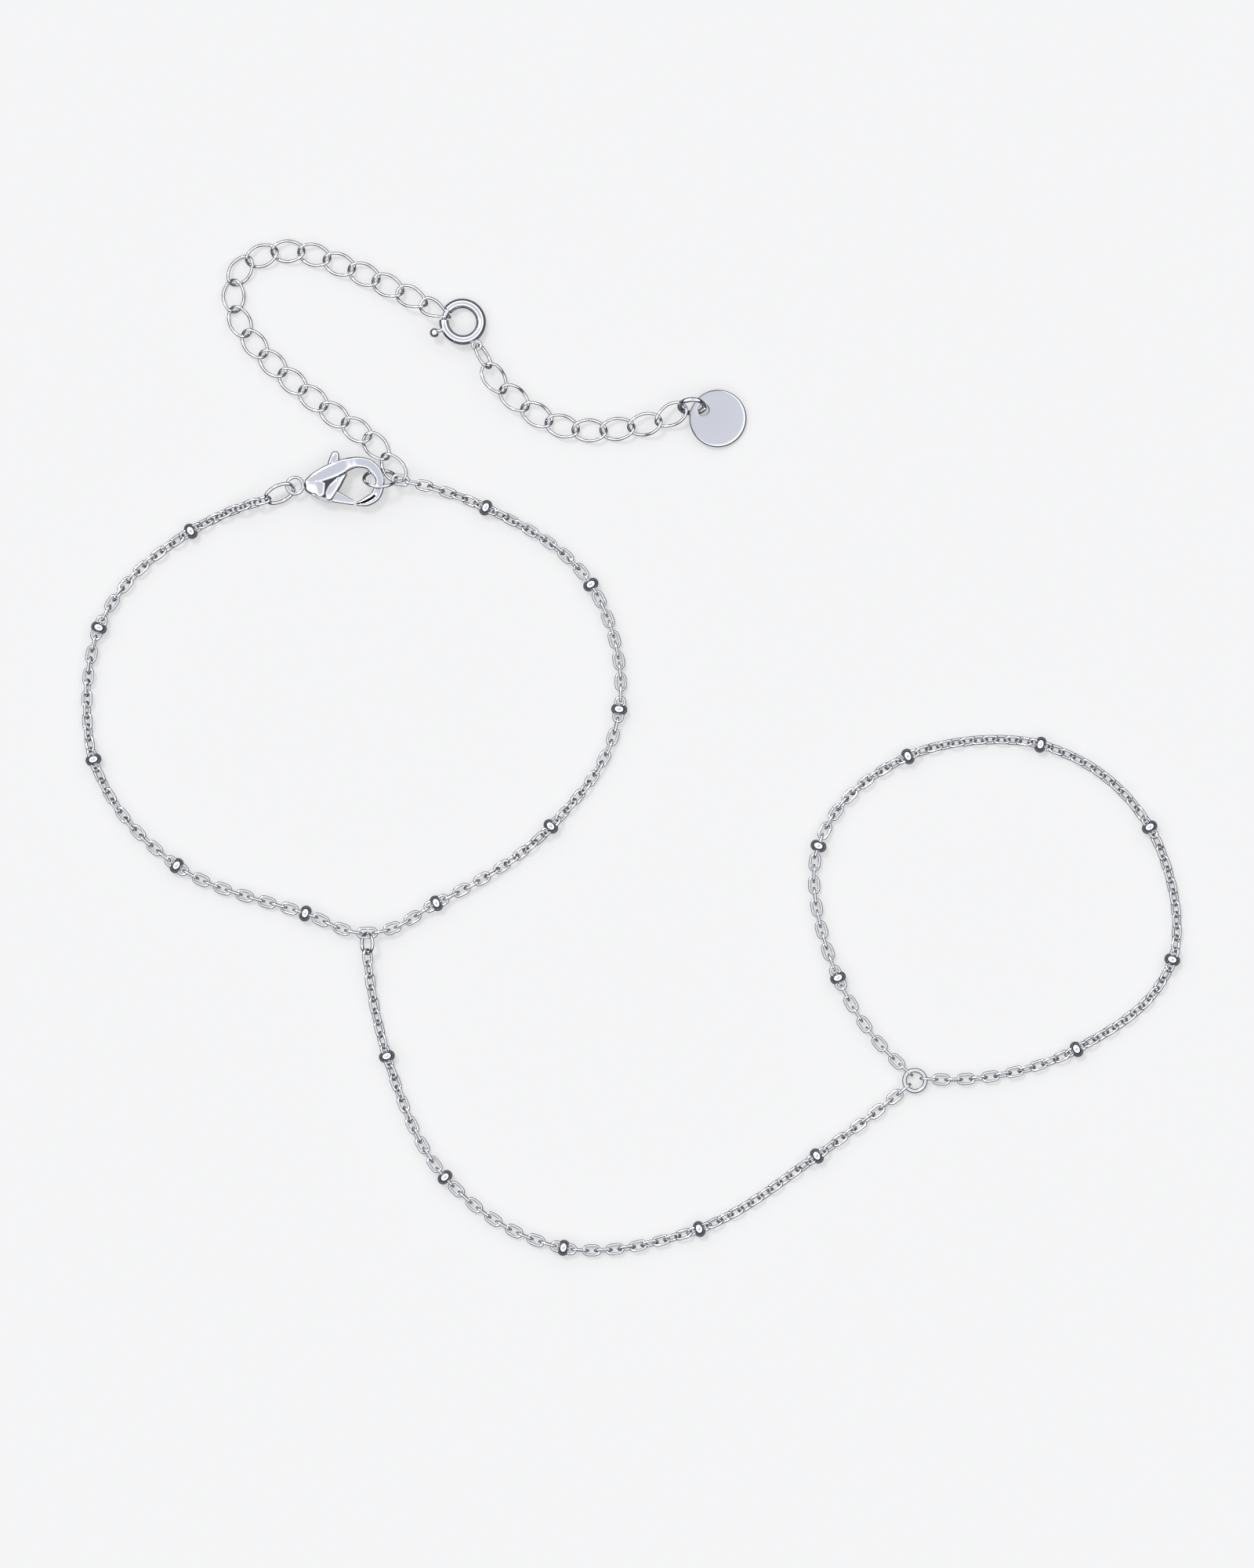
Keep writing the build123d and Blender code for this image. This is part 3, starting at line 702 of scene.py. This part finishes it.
def smooth_rows(rows: np.ndarray, steps: int) -> np.ndarray:
    """Rows between given rows, by Catmull and Rom's cubic in every column.

    With a, b, c, d four rows in turn, the row at t between b and c is
    (2b + (c - a) t + (2a - 5b + 4c - d) t^2 + (3b - a - 3c + d) t^3) / 2.

    Args:
        rows: The given rows, n by k.
        steps: How many rows each stretch gets.

    Returns:
        The rows, (n - 1) * steps + 1 by k.
    """
    u = np.linspace(0, len(rows) - 1, (len(rows) - 1) * steps + 1)
    k = np.minimum(u.astype(int), len(rows) - 2)
    t = (u - k)[:, None]
    a, b, c, d = (rows[np.clip(k + shift, 0, len(rows) - 1)] for shift in (-1, 0, 1, 2))
    return (2 * b + (c - a) * t + (2 * a - 5 * b + 4 * c - d) * t**2 + (3 * b - a - 3 * c + d) * t**3) / 2


@dataclass(frozen=True)
class CastForm:
    """A crowned form of the casting between two edge lines, in millimetres about the pin.

    rows: one edge's x and y, the other edge's x and y, half the thickness, and half the slot inside.
    crown: 2 for an ellipse across, more for a flatter top with rounder corners.
    fall: the share of the height that is lost from the first edge to the second.
    crease: how deep a crease runs along it, as a share of the height.
    crease_from, crease_run: the shares of its length where the crease starts and that it takes to deepen.
    crease_at, crease_half: the crease's middle and half its width, from -1 to 1 across.
    crease_shade_depth: how deep the crease is where its faces stop being polished.
    steps, across: how many rows each stretch gets, and how many points a row has on its outside.
    """

    rows: tuple[tuple[float, float, float, float, float, float], ...]
    crown: float = 2.4
    fall: float = 0.0
    crease: float = 0.0
    crease_from: float = 1.0
    crease_run: float = 0.08
    crease_at: float = 0.1
    crease_half: float = 0.3
    # crease_shade_depth: how deep the crease is where its faces get the dark material, as painted shade.
    crease_shade_depth: float = 0.25
    steps: int = 14
    across: int = 36

    def half(self, side: int) -> tuple[Shape, np.ndarray]:
        """The half above or below the middle plane.

        At v from -1 to 1 across, the height is s + (h - s) (1 - |v|^p)^(1/p) (1 - fall (1 + v) / 2), with
        h the half thickness and s the half slot. The part over s is lessened by a V-shaped crease, whose
        share of it is crease max(0, 1 - |v - crease_at| / crease_half).

        Args:
            side: 1 for above, -1 for below.

        Returns:
            The shape, and for each face 1 if it lies in the deep part of the crease, where the dark material
            paints shade, else 0.
        """
        rows = smooth_rows(np.array(self.rows), self.steps)
        v = -np.cos(np.linspace(0, np.pi, self.across))
        share = np.linspace(0, 1, len(rows))[:, None]
        slot = np.maximum(rows[:, 5:6], 0.0)
        bulge = (1 - np.abs(v) ** self.crown) ** (1 / self.crown) * (1 - self.fall * (1 + v) / 2)
        deep = self.crease * np.clip((share - self.crease_from) / self.crease_run, 0, 1)
        bulge = bulge * (1 - deep * np.clip(1 - np.abs(v - self.crease_at) / self.crease_half, 0, 1))
        height = slot + (rows[:, 4:5] - slot) * bulge
        first, second = (1 - v[None, :, None]) / 2, (1 + v[None, :, None]) / 2
        place = rows[:, None, :2] * first + rows[:, None, 2:4] * second
        top = np.concatenate([place, side * height[..., None]], -1)
        inside = np.broadcast_to(side * slot[:, :, None], (*place.shape[:2], 1))
        under = np.concatenate([place, inside], -1)[:, -2:0:-1]
        grid = np.concatenate([top, under], 1)
        n, m = grid.shape[:2]
        ends = np.stack([np.arange(m)[::-1], np.arange((n - 1) * m, n * m)])
        between = np.abs((v[1:] + v[:-1]) / 2 - self.crease_at) < self.crease_half
        # Faces deep in the crease are marked for the dark material, as painted shade
        shaded_crease_faces = np.zeros((n - 1, m), int)
        shaded_crease_faces[:, : self.across - 1] = (deep[1:] > self.crease_shade_depth) & between[None, :]
        shape = Shape(grid.reshape(-1, 3), (grid_faces(n, m, closed=False), ends))
        return shape.outward(), np.append(shaded_crease_faces.ravel(), [0, 0])


def swept_form(rows: tuple, **given: float) -> CastForm:
    """A crowned form along a path.

    Args:
        rows: The path's x and y, half the width, half the thickness and half the slot.
        given: The form's other fields.

    Returns:
        The form, whose edges are the path plus and minus its level normal times half the width.
    """
    table = np.array(rows)
    way = np.gradient(table[:, :2], axis=0)
    way /= np.linalg.norm(way, axis=1)[:, None]
    aside = np.column_stack([-way[:, 1], way[:, 0]]) * table[:, 2:3]
    edges = np.column_stack([table[:, :2] + aside, table[:, :2] - aside, table[:, 3:]])
    return CastForm(tuple(map(tuple, edges)), **given)


@dataclass
class ClawClasp:
    """The claw clasp: a casting with a crowned back that runs into the hook, and its lever."""

    pin: tuple[float, float, float] = (-31.449, 26.552, 1.3)
    eyelet: tuple[float, float] = (-3.69, 0.82)
    eyelet_bend: float = 0.86
    eyelet_wire: float = 0.33
    eyelet_steps: int = 48
    eyelet_sides: int = 14
    hub_radius: float = 0.78
    hub_sides: int = 40
    lever_half: float = 0.38
    back: CastForm = swept_form(
        (
            (-2.66, 0.90, 0.20, 0.55, 0.0),
            (-2.30, 1.15, 0.42, 0.78, 0.0),
            (-1.50, 1.60, 0.62, 0.85, 0.46),
            (-0.12, 2.23, 0.78, 0.85, 0.46),
            (1.34, 2.86, 0.70, 0.80, 0.46),
            (2.20, 3.16, 0.62, 0.62, 0.0),
            (2.93, 3.26, 0.57, 0.46, 0.0),
            (3.93, 3.08, 0.55, 0.45, 0.0),
            (4.65, 2.52, 0.55, 0.45, 0.0),
            (5.02, 1.95, 0.50, 0.45, 0.0),
            (5.20, 1.27, 0.46, 0.45, 0.0),
            (5.03, 0.43, 0.52, 0.45, 0.0),
            (4.65, -0.32, 0.54, 0.45, 0.0),
            (3.85, -0.82, 0.50, 0.45, 0.0),
            (3.20, -1.02, 0.32, 0.44, 0.0),
            (2.72, -1.10, 0.20, 0.40, 0.0),
        ),
        crown=3.6,
        fall=0.10,
        crease=0.62,
        crease_from=0.76,
        steps=16,
        across=44,
    )
    base: CastForm = CastForm(
        (
            (-2.76, 1.15, -2.76, 0.50, 0.55, 0.0),
            (-2.40, 1.25, -2.45, 0.16, 0.80, 0.0),
            (-1.80, 1.40, -1.80, -0.18, 0.86, 0.0),
            (-1.25, 1.36, -1.25, -0.34, 0.86, 0.46),
            (-0.78, 1.20, -0.86, -0.34, 0.84, 0.46),
            (-0.52, 1.10, -0.66, -0.20, 0.78, 0.46),
        ),
        crown=5.0,
        fall=0.45,
    )
    lip: CastForm = CastForm(
        (
            (-2.10, 0.20, -2.15, 0.00, 0.30, 0.0),
            (-1.50, 0.00, -1.58, -0.36, 0.55, 0.0),
            (-0.80, -0.35, -0.92, -0.70, 0.60, 0.46),
            (-0.10, -0.60, -0.14, -0.90, 0.60, 0.46),
            (0.18, -0.74, 0.16, -0.90, 0.55, 0.46),
        ),
        crown=5.0,
    )
    cheek: CastForm = CastForm(
        (
            (1.74, 2.10, 1.78, 2.02, 0.80, 0.46),
            (1.19, 1.84, 1.55, 1.60, 1.00, 0.46),
            (0.70, 1.60, 1.34, 1.18, 1.08, 0.46),
            (0.26, 1.23, 1.09, 0.68, 1.13, 0.46),
            (-0.16, 0.85, 0.81, 0.21, 1.13, 0.46),
            (-0.38, 0.41, 0.55, -0.20, 1.13, 0.46),
            (-0.50, 0.01, 0.30, -0.57, 1.08, 0.46),
            (-0.44, -0.52, 0.12, -0.74, 0.95, 0.46),
            (-0.25, -0.74, -0.02, -0.80, 0.80, 0.46),
        ),
        crown=4.0,
        fall=0.30,
    )
    # A slab in the slot, all in the dark material: painted shade where the slot lies in shadow
    painted_shade: CastForm = CastForm(
        (
            (-1.10, 1.60, -1.00, -0.40, 0.60, 0.46),
            (-0.40, 1.90, -0.40, -0.70, 0.60, 0.46),
            (0.30, 2.20, 0.12, -0.76, 0.60, 0.46),
            (1.10, 2.50, 0.85, 0.55, 0.60, 0.46),
            (1.80, 2.70, 1.66, 1.98, 0.60, 0.46),
        ),
        crown=9.0,
    )
    tongue: CastForm = CastForm(
        (
            (0.45, 0.55, -0.20, -0.62, 0.38, 0.0),
            (0.88, 0.20, 0.25, -0.88, 0.38, 0.0),
            (1.40, -0.10, 0.90, -1.00, 0.38, 0.0),
            (1.93, -0.40, 1.60, -1.12, 0.38, 0.0),
            (2.36, -0.63, 2.28, -1.20, 0.38, 0.0),
            (2.44, -0.72, 2.44, -1.18, 0.36, 0.0),
        ),
        crown=4.0,
        fall=0.30,
    )
    tab: CastForm = CastForm(
        (
            (-0.45, 0.40, 0.55, 0.40, 0.38, 0.0),
            (-0.38, 2.00, 0.74, 2.00, 0.38, 0.0),
            (-0.27, 3.10, 0.90, 3.10, 0.38, 0.0),
            (-0.12, 3.62, 0.94, 3.62, 0.38, 0.0),
            (0.03, 3.98, 0.93, 3.98, 0.36, 0.0),
            (0.18, 4.26, 0.86, 4.24, 0.28, 0.0),
            (0.38, 4.42, 0.62, 4.42, 0.12, 0.0),
        ),
        crown=3.0,
    )
    body_piece: bpy.types.Object | None = None
    lever_piece: bpy.types.Object | None = None
    finishes: dict[str, np.ndarray] = field(default_factory=dict)

    def gather(self, name: str, shapes: list, body: str) -> bpy.types.Object:
        """Joins shapes about the pin into one piece.

        Args:
            name: The piece's name.
            shapes: For each, the shape and its faces' material numbers.
            body: The body that the piece rides on.

        Returns:
            The piece.
        """
        whole = shapes[0][0].joined(*(shape for shape, _ in shapes[1:]))
        numbers = [np.broadcast_to(number, shape.count()) for shape, number in shapes]
        self.finishes[name] = np.concatenate(numbers)
        return make_piece(name, Shape(whole.points + np.array(self.pin), whole.blocks), body)

    def build(self) -> None:
        """Makes the casting and the lever in place of their solids."""
        middle, x, y = np.array([*self.eyelet, 0.0]), np.array([1.0, 0, 0]), np.array([0, 1.0, 0])
        bend, wire = self.eyelet_bend, self.eyelet_wire
        shapes = [(wire_ring(middle, x, y, bend, wire, self.eyelet_steps, self.eyelet_sides), 0)]
        for form in (self.back, self.base, self.lip, self.cheek):
            shapes += [form.half(side) for side in (1, -1)]
        # The slab in the slot takes material 1, the dark painted shade
        shapes += [(self.painted_shade.half(side)[0], 1) for side in (1, -1)]
        self.body_piece = self.gather("clasp_casting", shapes, "bracelet")
        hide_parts("lobster_body", "lobster_pin")
        half, wide = self.lever_half, self.hub_radius
        hub = spun(np.array([[half, 0], [half, wide], [-half, wide], [-half, 0]]), self.hub_sides)
        shapes = [(Shape(hub.points[:, [2, 1, 0]], hub.blocks).outward(), 0)]
        for form in (self.tongue, self.tab):
            shapes += [form.half(side) for side in (1, -1)]
        self.lever_piece = self.gather("clasp_lever_polished", shapes, "lever")
        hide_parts("lobster_lever")

    def dress(self, polished: bpy.types.Material, painted_shade: bpy.types.Material) -> None:
        """Gives the casting its polish, the dark material of painted shade in its slot and deep crease, and
        the lever its polish.
        """
        dress(self.body_piece, polished)
        self.body_piece.data.materials.append(painted_shade)
        dress(self.lever_piece, polished)
        for piece in (self.body_piece, self.lever_piece):
            piece.data.polygons.foreach_set("material_index", self.finishes[piece.name])
            piece.data.set_sharp_from_angle(angle=SHARP_FROM)


# The spring ring and the tag


def leaning_axes(lean: float, towards: float) -> np.ndarray:
    """The axes of a round piece whose level normal leans by an angle towards a heading.

    Args:
        lean: The angle in degrees.
        towards: The heading in degrees from +X.

    Returns:
        X, level and a quarter turn past the heading; Y, which is Z x X; and Z, the normal.
    """
    a, b = np.radians(lean), np.radians(towards)
    z = np.array([np.cos(b) * np.sin(a), np.sin(b) * np.sin(a), np.cos(a)])
    x = np.array([-np.sin(b), np.cos(b), 0.0])
    return np.stack([x, np.cross(z, x), z])


def way_in_plane(normal: np.ndarray, angle: np.ndarray | float) -> np.ndarray:
    """The directions in a leaning plane that lie over given level headings.

    With e the level direction and n the normal, it is e - (e . n / n_z) up, made one long.

    Args:
        normal: The plane's normal.
        angle: The headings in degrees from +X.

    Returns:
        The directions.
    """
    turn = np.radians(angle)
    level = np.stack([np.cos(turn), np.sin(turn), 0 * turn], -1)
    way = level - (level @ normal / normal[2])[..., None] * UP
    return way / np.linalg.norm(way, axis=-1, keepdims=True)


@dataclass
class SpringRing:
    """The spring ring's bent tube, with its gap, the slot of the bolt's trigger and the soldered eye."""

    middle: tuple[float, float, float] = (-17.79, 44.88, 0.9)
    lean: float = 11.3
    lean_towards: float = 51.5
    radius: float = 1.95
    tube: float = 0.5
    bore: float = 0.32
    gap: tuple[float, float] = (143.0, 176.0)
    rounding: float = 1.3
    # The radius of the rows that round off an end, from the bore outwards
    lip: tuple[float, float, float] = (0.33, 0.45, 0.488)
    slot: tuple[float, float] = (195.0, 245.0)
    slot_half: float = 0.25
    slot_floor: float = 0.35
    eye_at: float = 301.0
    eye_reach: float = 2.88
    eye_bend: float = 0.46
    eye_wire: float = 0.26
    eye_steps: int = 64
    eye_sides: int = 18
    outside_rows: int = 200
    bore_rows: int = 80
    sides: int = 56
    piece: bpy.types.Object | None = None

    def tube_shape(self, origin: np.ndarray, normal: np.ndarray) -> Shape:
        """The bent tube.

        Its rows run round the outside from one side of the gap to the other and back along the bore.
        The point of a row at turn v is the tube's middle + reach (cos v outwards + sin v normal). Where
        the slot is, the points within half its height of the ring's plane reach its floor only.

        Args:
            origin: The ring's middle.
            normal: Its plane's normal.

        Returns:
            The tube.
        """
        start, end = self.gap[1], self.gap[0] + 360.0
        edge = self.rounding
        angle = np.concatenate(
            [
                [start, start, start + edge / 2],
                np.linspace(start + edge, end - edge, self.outside_rows),
                [end - edge / 2, end, end],
                np.linspace(end, start, self.bore_rows),
            ]
        )
        outside, inside = np.full(self.outside_rows, self.tube), np.full(self.bore_rows, self.bore)
        size = np.concatenate([self.lip, outside, self.lip[::-1], inside])
        out = way_in_plane(normal, angle)
        turn = np.linspace(0, 2 * np.pi, self.sides, endpoint=False)
        reach = np.repeat(size[:, None], self.sides, 1)
        in_slot = (angle > self.slot[0]) & (angle < self.slot[1]) & (size == self.tube)
        low = (np.abs(np.sin(turn)) * self.tube < self.slot_half) & (np.cos(turn) > 0)
        reach = np.where(in_slot[:, None] & low[None, :], self.slot_floor, reach)
        across = np.cos(turn)[None, :, None] * out[:, None] + np.sin(turn)[None, :, None] * normal
        points = (origin + out * self.radius)[:, None] + reach[..., None] * across
        return Shape(points.reshape(-1, 3), (grid_faces(len(angle), self.sides),)).outward()

    def build(self) -> None:
        """Makes the tube and its eye in place of their solid."""
        normal = leaning_axes(self.lean, self.lean_towards)[2]
        origin = np.array(self.middle) - np.array([*LAYOUT_MIDDLE, 0.0])
        way = way_in_plane(normal, self.eye_at)
        middle, aside = origin + way * self.eye_reach, np.cross(normal, way)
        eye = wire_ring(middle, way, aside, self.eye_bend, self.eye_wire, self.eye_steps, self.eye_sides)
        shape = self.tube_shape(origin, normal).joined(eye)
        self.piece = make_piece("spring_ring_polished", shape, "bracelet")
        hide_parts("spring_ring")

    def dress(self, material: bpy.types.Material) -> None:
        """Gives the tube its polish, with crisp edges at the gap and the slot."""
        dress(self.piece, material)
        self.piece.data.set_sharp_from_angle(angle=SHARP_FROM)


@dataclass
class TagDisc:
    """The tag: a bare round plate with a hole, its face a little domed and its rim bevelled."""

    middle: tuple[float, float, float] = (8.89, 34.77, 0.72)
    lean: float = 9.0
    hole_at: float = 150.0
    hole_out: float = 1.7976
    hole: float = 0.6
    rim: float = 3.0
    half: float = 0.225
    dome: float = 0.035
    hole_bevel: float = 0.06
    face_span: tuple[float, float] = (0.03, 0.935)
    # Rows: the share of the way from the hole's circle to the rim's, what is added to the radius, the
    # depth below the face
    hole_rows: tuple[tuple[float, float, float], ...] = (
        (0.0, 0.0, 0.225),
        (0.0, 0.0, 0.10),
        (0.0, 0.015, 0.06),
        (0.0, 0.06, 0.012),
    )
    rim_rows: tuple[tuple[float, float, float], ...] = (
        (0.94, 0.0, 0.01075),
        (0.972, 0.0, 0.034),
        (0.98, 0.0, 0.055),
        (0.992, 0.0, 0.085),
        (1.0, 0.0, 0.125),
        (1.0, 0.0, 0.225),
    )
    face_steps: int = 24
    sides: int = 128
    piece: bpy.types.Object | None = None

    def face_rows(self) -> np.ndarray:
        """Half the section, from the middle of the hole's wall over the face to the middle of the rim.

        Between the bevels the depth below the face is dome (2 s - 1)^2 / 4, with s the share of the way.

        Returns:
            Rows of: the share of the way, what is added to the radius, and the height.
        """
        s = np.linspace(*self.face_span, self.face_steps)
        face = np.column_stack([s, self.hole_bevel * (1 - s), self.dome * (2 * s - 1) ** 2 / 4])
        return np.vstack([self.hole_rows, face, self.rim_rows]) * [1, 1, -1] + [0, 0, self.half]

    def build(self) -> None:
        """Makes the plate in place of its solid.

        A row's circle has the middle (1 - s) hole's + s rim's and the radius (1 - s) hole's + s rim's
        plus what is added, with s the share of the way.
        """
        above = self.face_rows()
        rows = np.vstack([above, (above * [1, 1, -1])[-2:0:-1]])
        turn = np.linspace(0, 2 * np.pi, self.sides, endpoint=False)
        radius = (1 - rows[:, 0]) * self.hole + rows[:, 0] * self.rim + rows[:, 1]
        local = np.stack(
            [
                radius[:, None] * np.cos(turn),
                radius[:, None] * np.sin(turn) + ((1 - rows[:, 0]) * self.hole_out)[:, None],
                np.repeat(rows[:, 2:3], self.sides, 1),
            ],
            -1,
        )
        axes = leaning_axes(self.lean, self.hole_at + 180.0)
        points = (local @ axes).reshape(-1, 3) + np.array(self.middle) - np.array([*LAYOUT_MIDDLE, 0.0])
        shape = Shape(points, (grid_faces(len(rows), self.sides),)).outward()
        self.piece = make_piece("tag_disc_polished", shape, "bracelet")
        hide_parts("tag_disc")

    def dress(self, material: bpy.types.Material) -> None:
        """Gives the plate its polish."""
        dress(self.piece, material)
        self.piece.data.set_sharp_from_angle(angle=SHARP_FROM)


# The stage


@dataclass(frozen=True)
class Studio:
    """The floor, the light tent and the camera, in metres and linear light."""

    floor_size: float = 3.0
    floor_white: float = 0.40
    floor_glow: float = 0.447
    floor_seen_by_metal: float = 0.11
    brighter_towards: tuple[float, float] = (-0.06, 0.14)
    camera_height: float = 1.0
    view_height: float = 0.1639
    middle: tuple[float, float] = (-0.000464, -0.003779)
    sensor: float = 36.0
    sun_strength: float = 1.1
    sun_width: float = 14.0
    sun_turn: tuple[float, float, float] = (-24.0, -18.0, 0.0)
    sky_strength: float = 1.0
    # Rows: how high the sky's band is, from 0 level to 1 overhead, and its red, green and blue
    sky_bands: tuple[tuple[float, float, float, float], ...] = (
        (0.0, 0.10, 0.10, 0.13),
        (0.18, 0.04, 0.04, 0.06),
        (0.37, 0.03, 0.03, 0.05),
        (0.47, 0.34, 0.35, 0.41),
        (0.56, 1.5, 1.5, 1.5),
        (0.80, 1.3, 1.3, 1.3),
        (0.92, 0.72, 0.74, 0.81),
        (1.0, 0.66, 0.68, 0.76),
    )

    def floor(self) -> None:
        """A plain pale floor that the metal sees a little darker, as if flags stood round the view."""
        half = self.floor_size / 2
        mesh = bpy.data.meshes.new("floor")
        low = min(CAD_BOX[0][2], 0.0)
        corners = [(-half, -half, low), (half, -half, low), (half, half, low), (-half, half, low)]
        mesh.from_pydata(corners, [], [(0, 1, 2, 3)])
        floor = bpy.data.objects.new("floor", mesh)
        bpy.context.scene.collection.objects.link(floor)
        material = bpy.data.materials.new("pale_floor")
        material.use_nodes = True
        nodes, links = material.node_tree.nodes, material.node_tree.links
        shader = nodes["Principled BSDF"]
        shader.inputs["Roughness"].default_value = 0.9
        shader.inputs["Specular IOR Level"].default_value = 0.0
        path = nodes.new("ShaderNodeLightPath")
        mix = nodes.new("ShaderNodeMix")
        mix.data_type = "RGBA"
        links.new(path.outputs["Is Glossy Ray"], mix.inputs["Factor"])
        white, dark = self.floor_white, self.floor_seen_by_metal
        mix.inputs["A"].default_value = (white, white, white, 1)
        mix.inputs["B"].default_value = (dark, dark, dark * 1.06, 1)
        links.new(mix.outputs["Result"], shader.inputs["Base Color"])
        glow = nodes.new("ShaderNodeMath")
        glow.operation = "MULTIPLY_ADD"
        links.new(path.outputs["Is Glossy Ray"], glow.inputs[0])
        glow.inputs[1].default_value = -self.floor_glow
        glow.inputs[2].default_value = self.floor_glow
        links.new(glow.outputs[0], shader.inputs["Emission Strength"])
        shader.inputs["Emission Color"].default_value = (1, 1, 0.997, 1)
        dress(floor, material)

    def tent(self) -> None:
        """A light tent: lavender grey overhead, a white softbox high at the upper left, dark flags low."""
        world = bpy.data.worlds.new("light_tent")
        bpy.context.scene.world = world
        world.use_nodes = True
        nodes, links = world.node_tree.nodes, world.node_tree.links
        back = nodes["Background"]
        back.inputs["Strength"].default_value = self.sky_strength
        place = nodes.new("ShaderNodeTexCoord")
        rise = nodes.new("ShaderNodeVectorMath")
        rise.operation = "DOT_PRODUCT"
        links.new(place.outputs["Generated"], rise.inputs[0])
        rise.inputs[1].default_value = (*self.brighter_towards, 1.0)
        ramp = nodes.new("ShaderNodeValToRGB")
        links.new(rise.outputs["Value"], ramp.inputs["Fac"])
        while len(ramp.color_ramp.elements) < len(self.sky_bands):
            ramp.color_ramp.elements.new(0.5)
        for element, (at, *colour) in zip(ramp.color_ramp.elements, self.sky_bands):
            element.position = at
            element.color = (*colour, 1)
        links.new(ramp.outputs["Color"], back.inputs["Color"])

    def sun(self) -> None:
        """A broad soft key light from the upper left."""
        light = bpy.data.lights.new("key_light", "SUN")
        light.energy = self.sun_strength
        light.angle = np.radians(self.sun_width)
        key = bpy.data.objects.new("key_light", light)
        key.rotation_euler = np.radians(self.sun_turn)
        bpy.context.scene.collection.objects.link(key)

    def camera(self) -> None:
        """A long lens straight above, framed as the photograph is."""
        lens = bpy.data.cameras.new("camera")
        lens.sensor_width = self.sensor
        lens.lens = self.sensor * self.camera_height / self.view_height
        lens.clip_start, lens.clip_end = 0.01, 100
        camera = bpy.data.objects.new("camera", lens)
        camera.location = (*self.middle, self.camera_height)
        bpy.context.scene.collection.objects.link(camera)
        bpy.context.scene.camera = camera

    def build(self) -> None:
        """Sets the stage, with colours shown as they are."""
        self.floor()
        self.tent()
        self.sun()
        self.camera()
        bpy.context.scene.view_settings.view_transform = "Standard"


def main() -> None:
    """Builds the new pieces, dresses every solid that shows, and sets the stage."""
    logging.basicConfig(level=logging.INFO, format="%(message)s")
    marks = polish_group()
    materials = {slot: finish.build(marks) for slot, finish in FINISHES.items()}
    slots = {s["node"]: Slot(s["material_slot"]) for s in frame["record"]["subparts"]}
    for node, piece in frame["nodes"].items():
        dress(piece, materials[slots[node]])
    pieces = []
    for chain in (WristChain(), HandChain(), FingerChain()):
        chain.build()
        chain.dress(materials[Slot.CHAIN])
        pieces += chain.pieces
    clasp = ClawClasp()
    clasp.build()
    # The casting's second material is the painted shade of its slot and crease
    clasp.dress(materials[Slot.CLASP], SHADE_PAINT_FINISH.build(marks))
    pieces += [clasp.body_piece, clasp.lever_piece]
    for assembly, slot in ((SpringRing(), Slot.CLASP), (TagDisc(), Slot.TAG)):
        assembly.build()
        assembly.dress(materials[slot])
        pieces.append(assembly.piece)
    for piece in pieces:
        LOG.info("%s: %d faces", piece.name, len(piece.data.polygons))
    Studio().build()


if __name__ == "__main__":
    main()
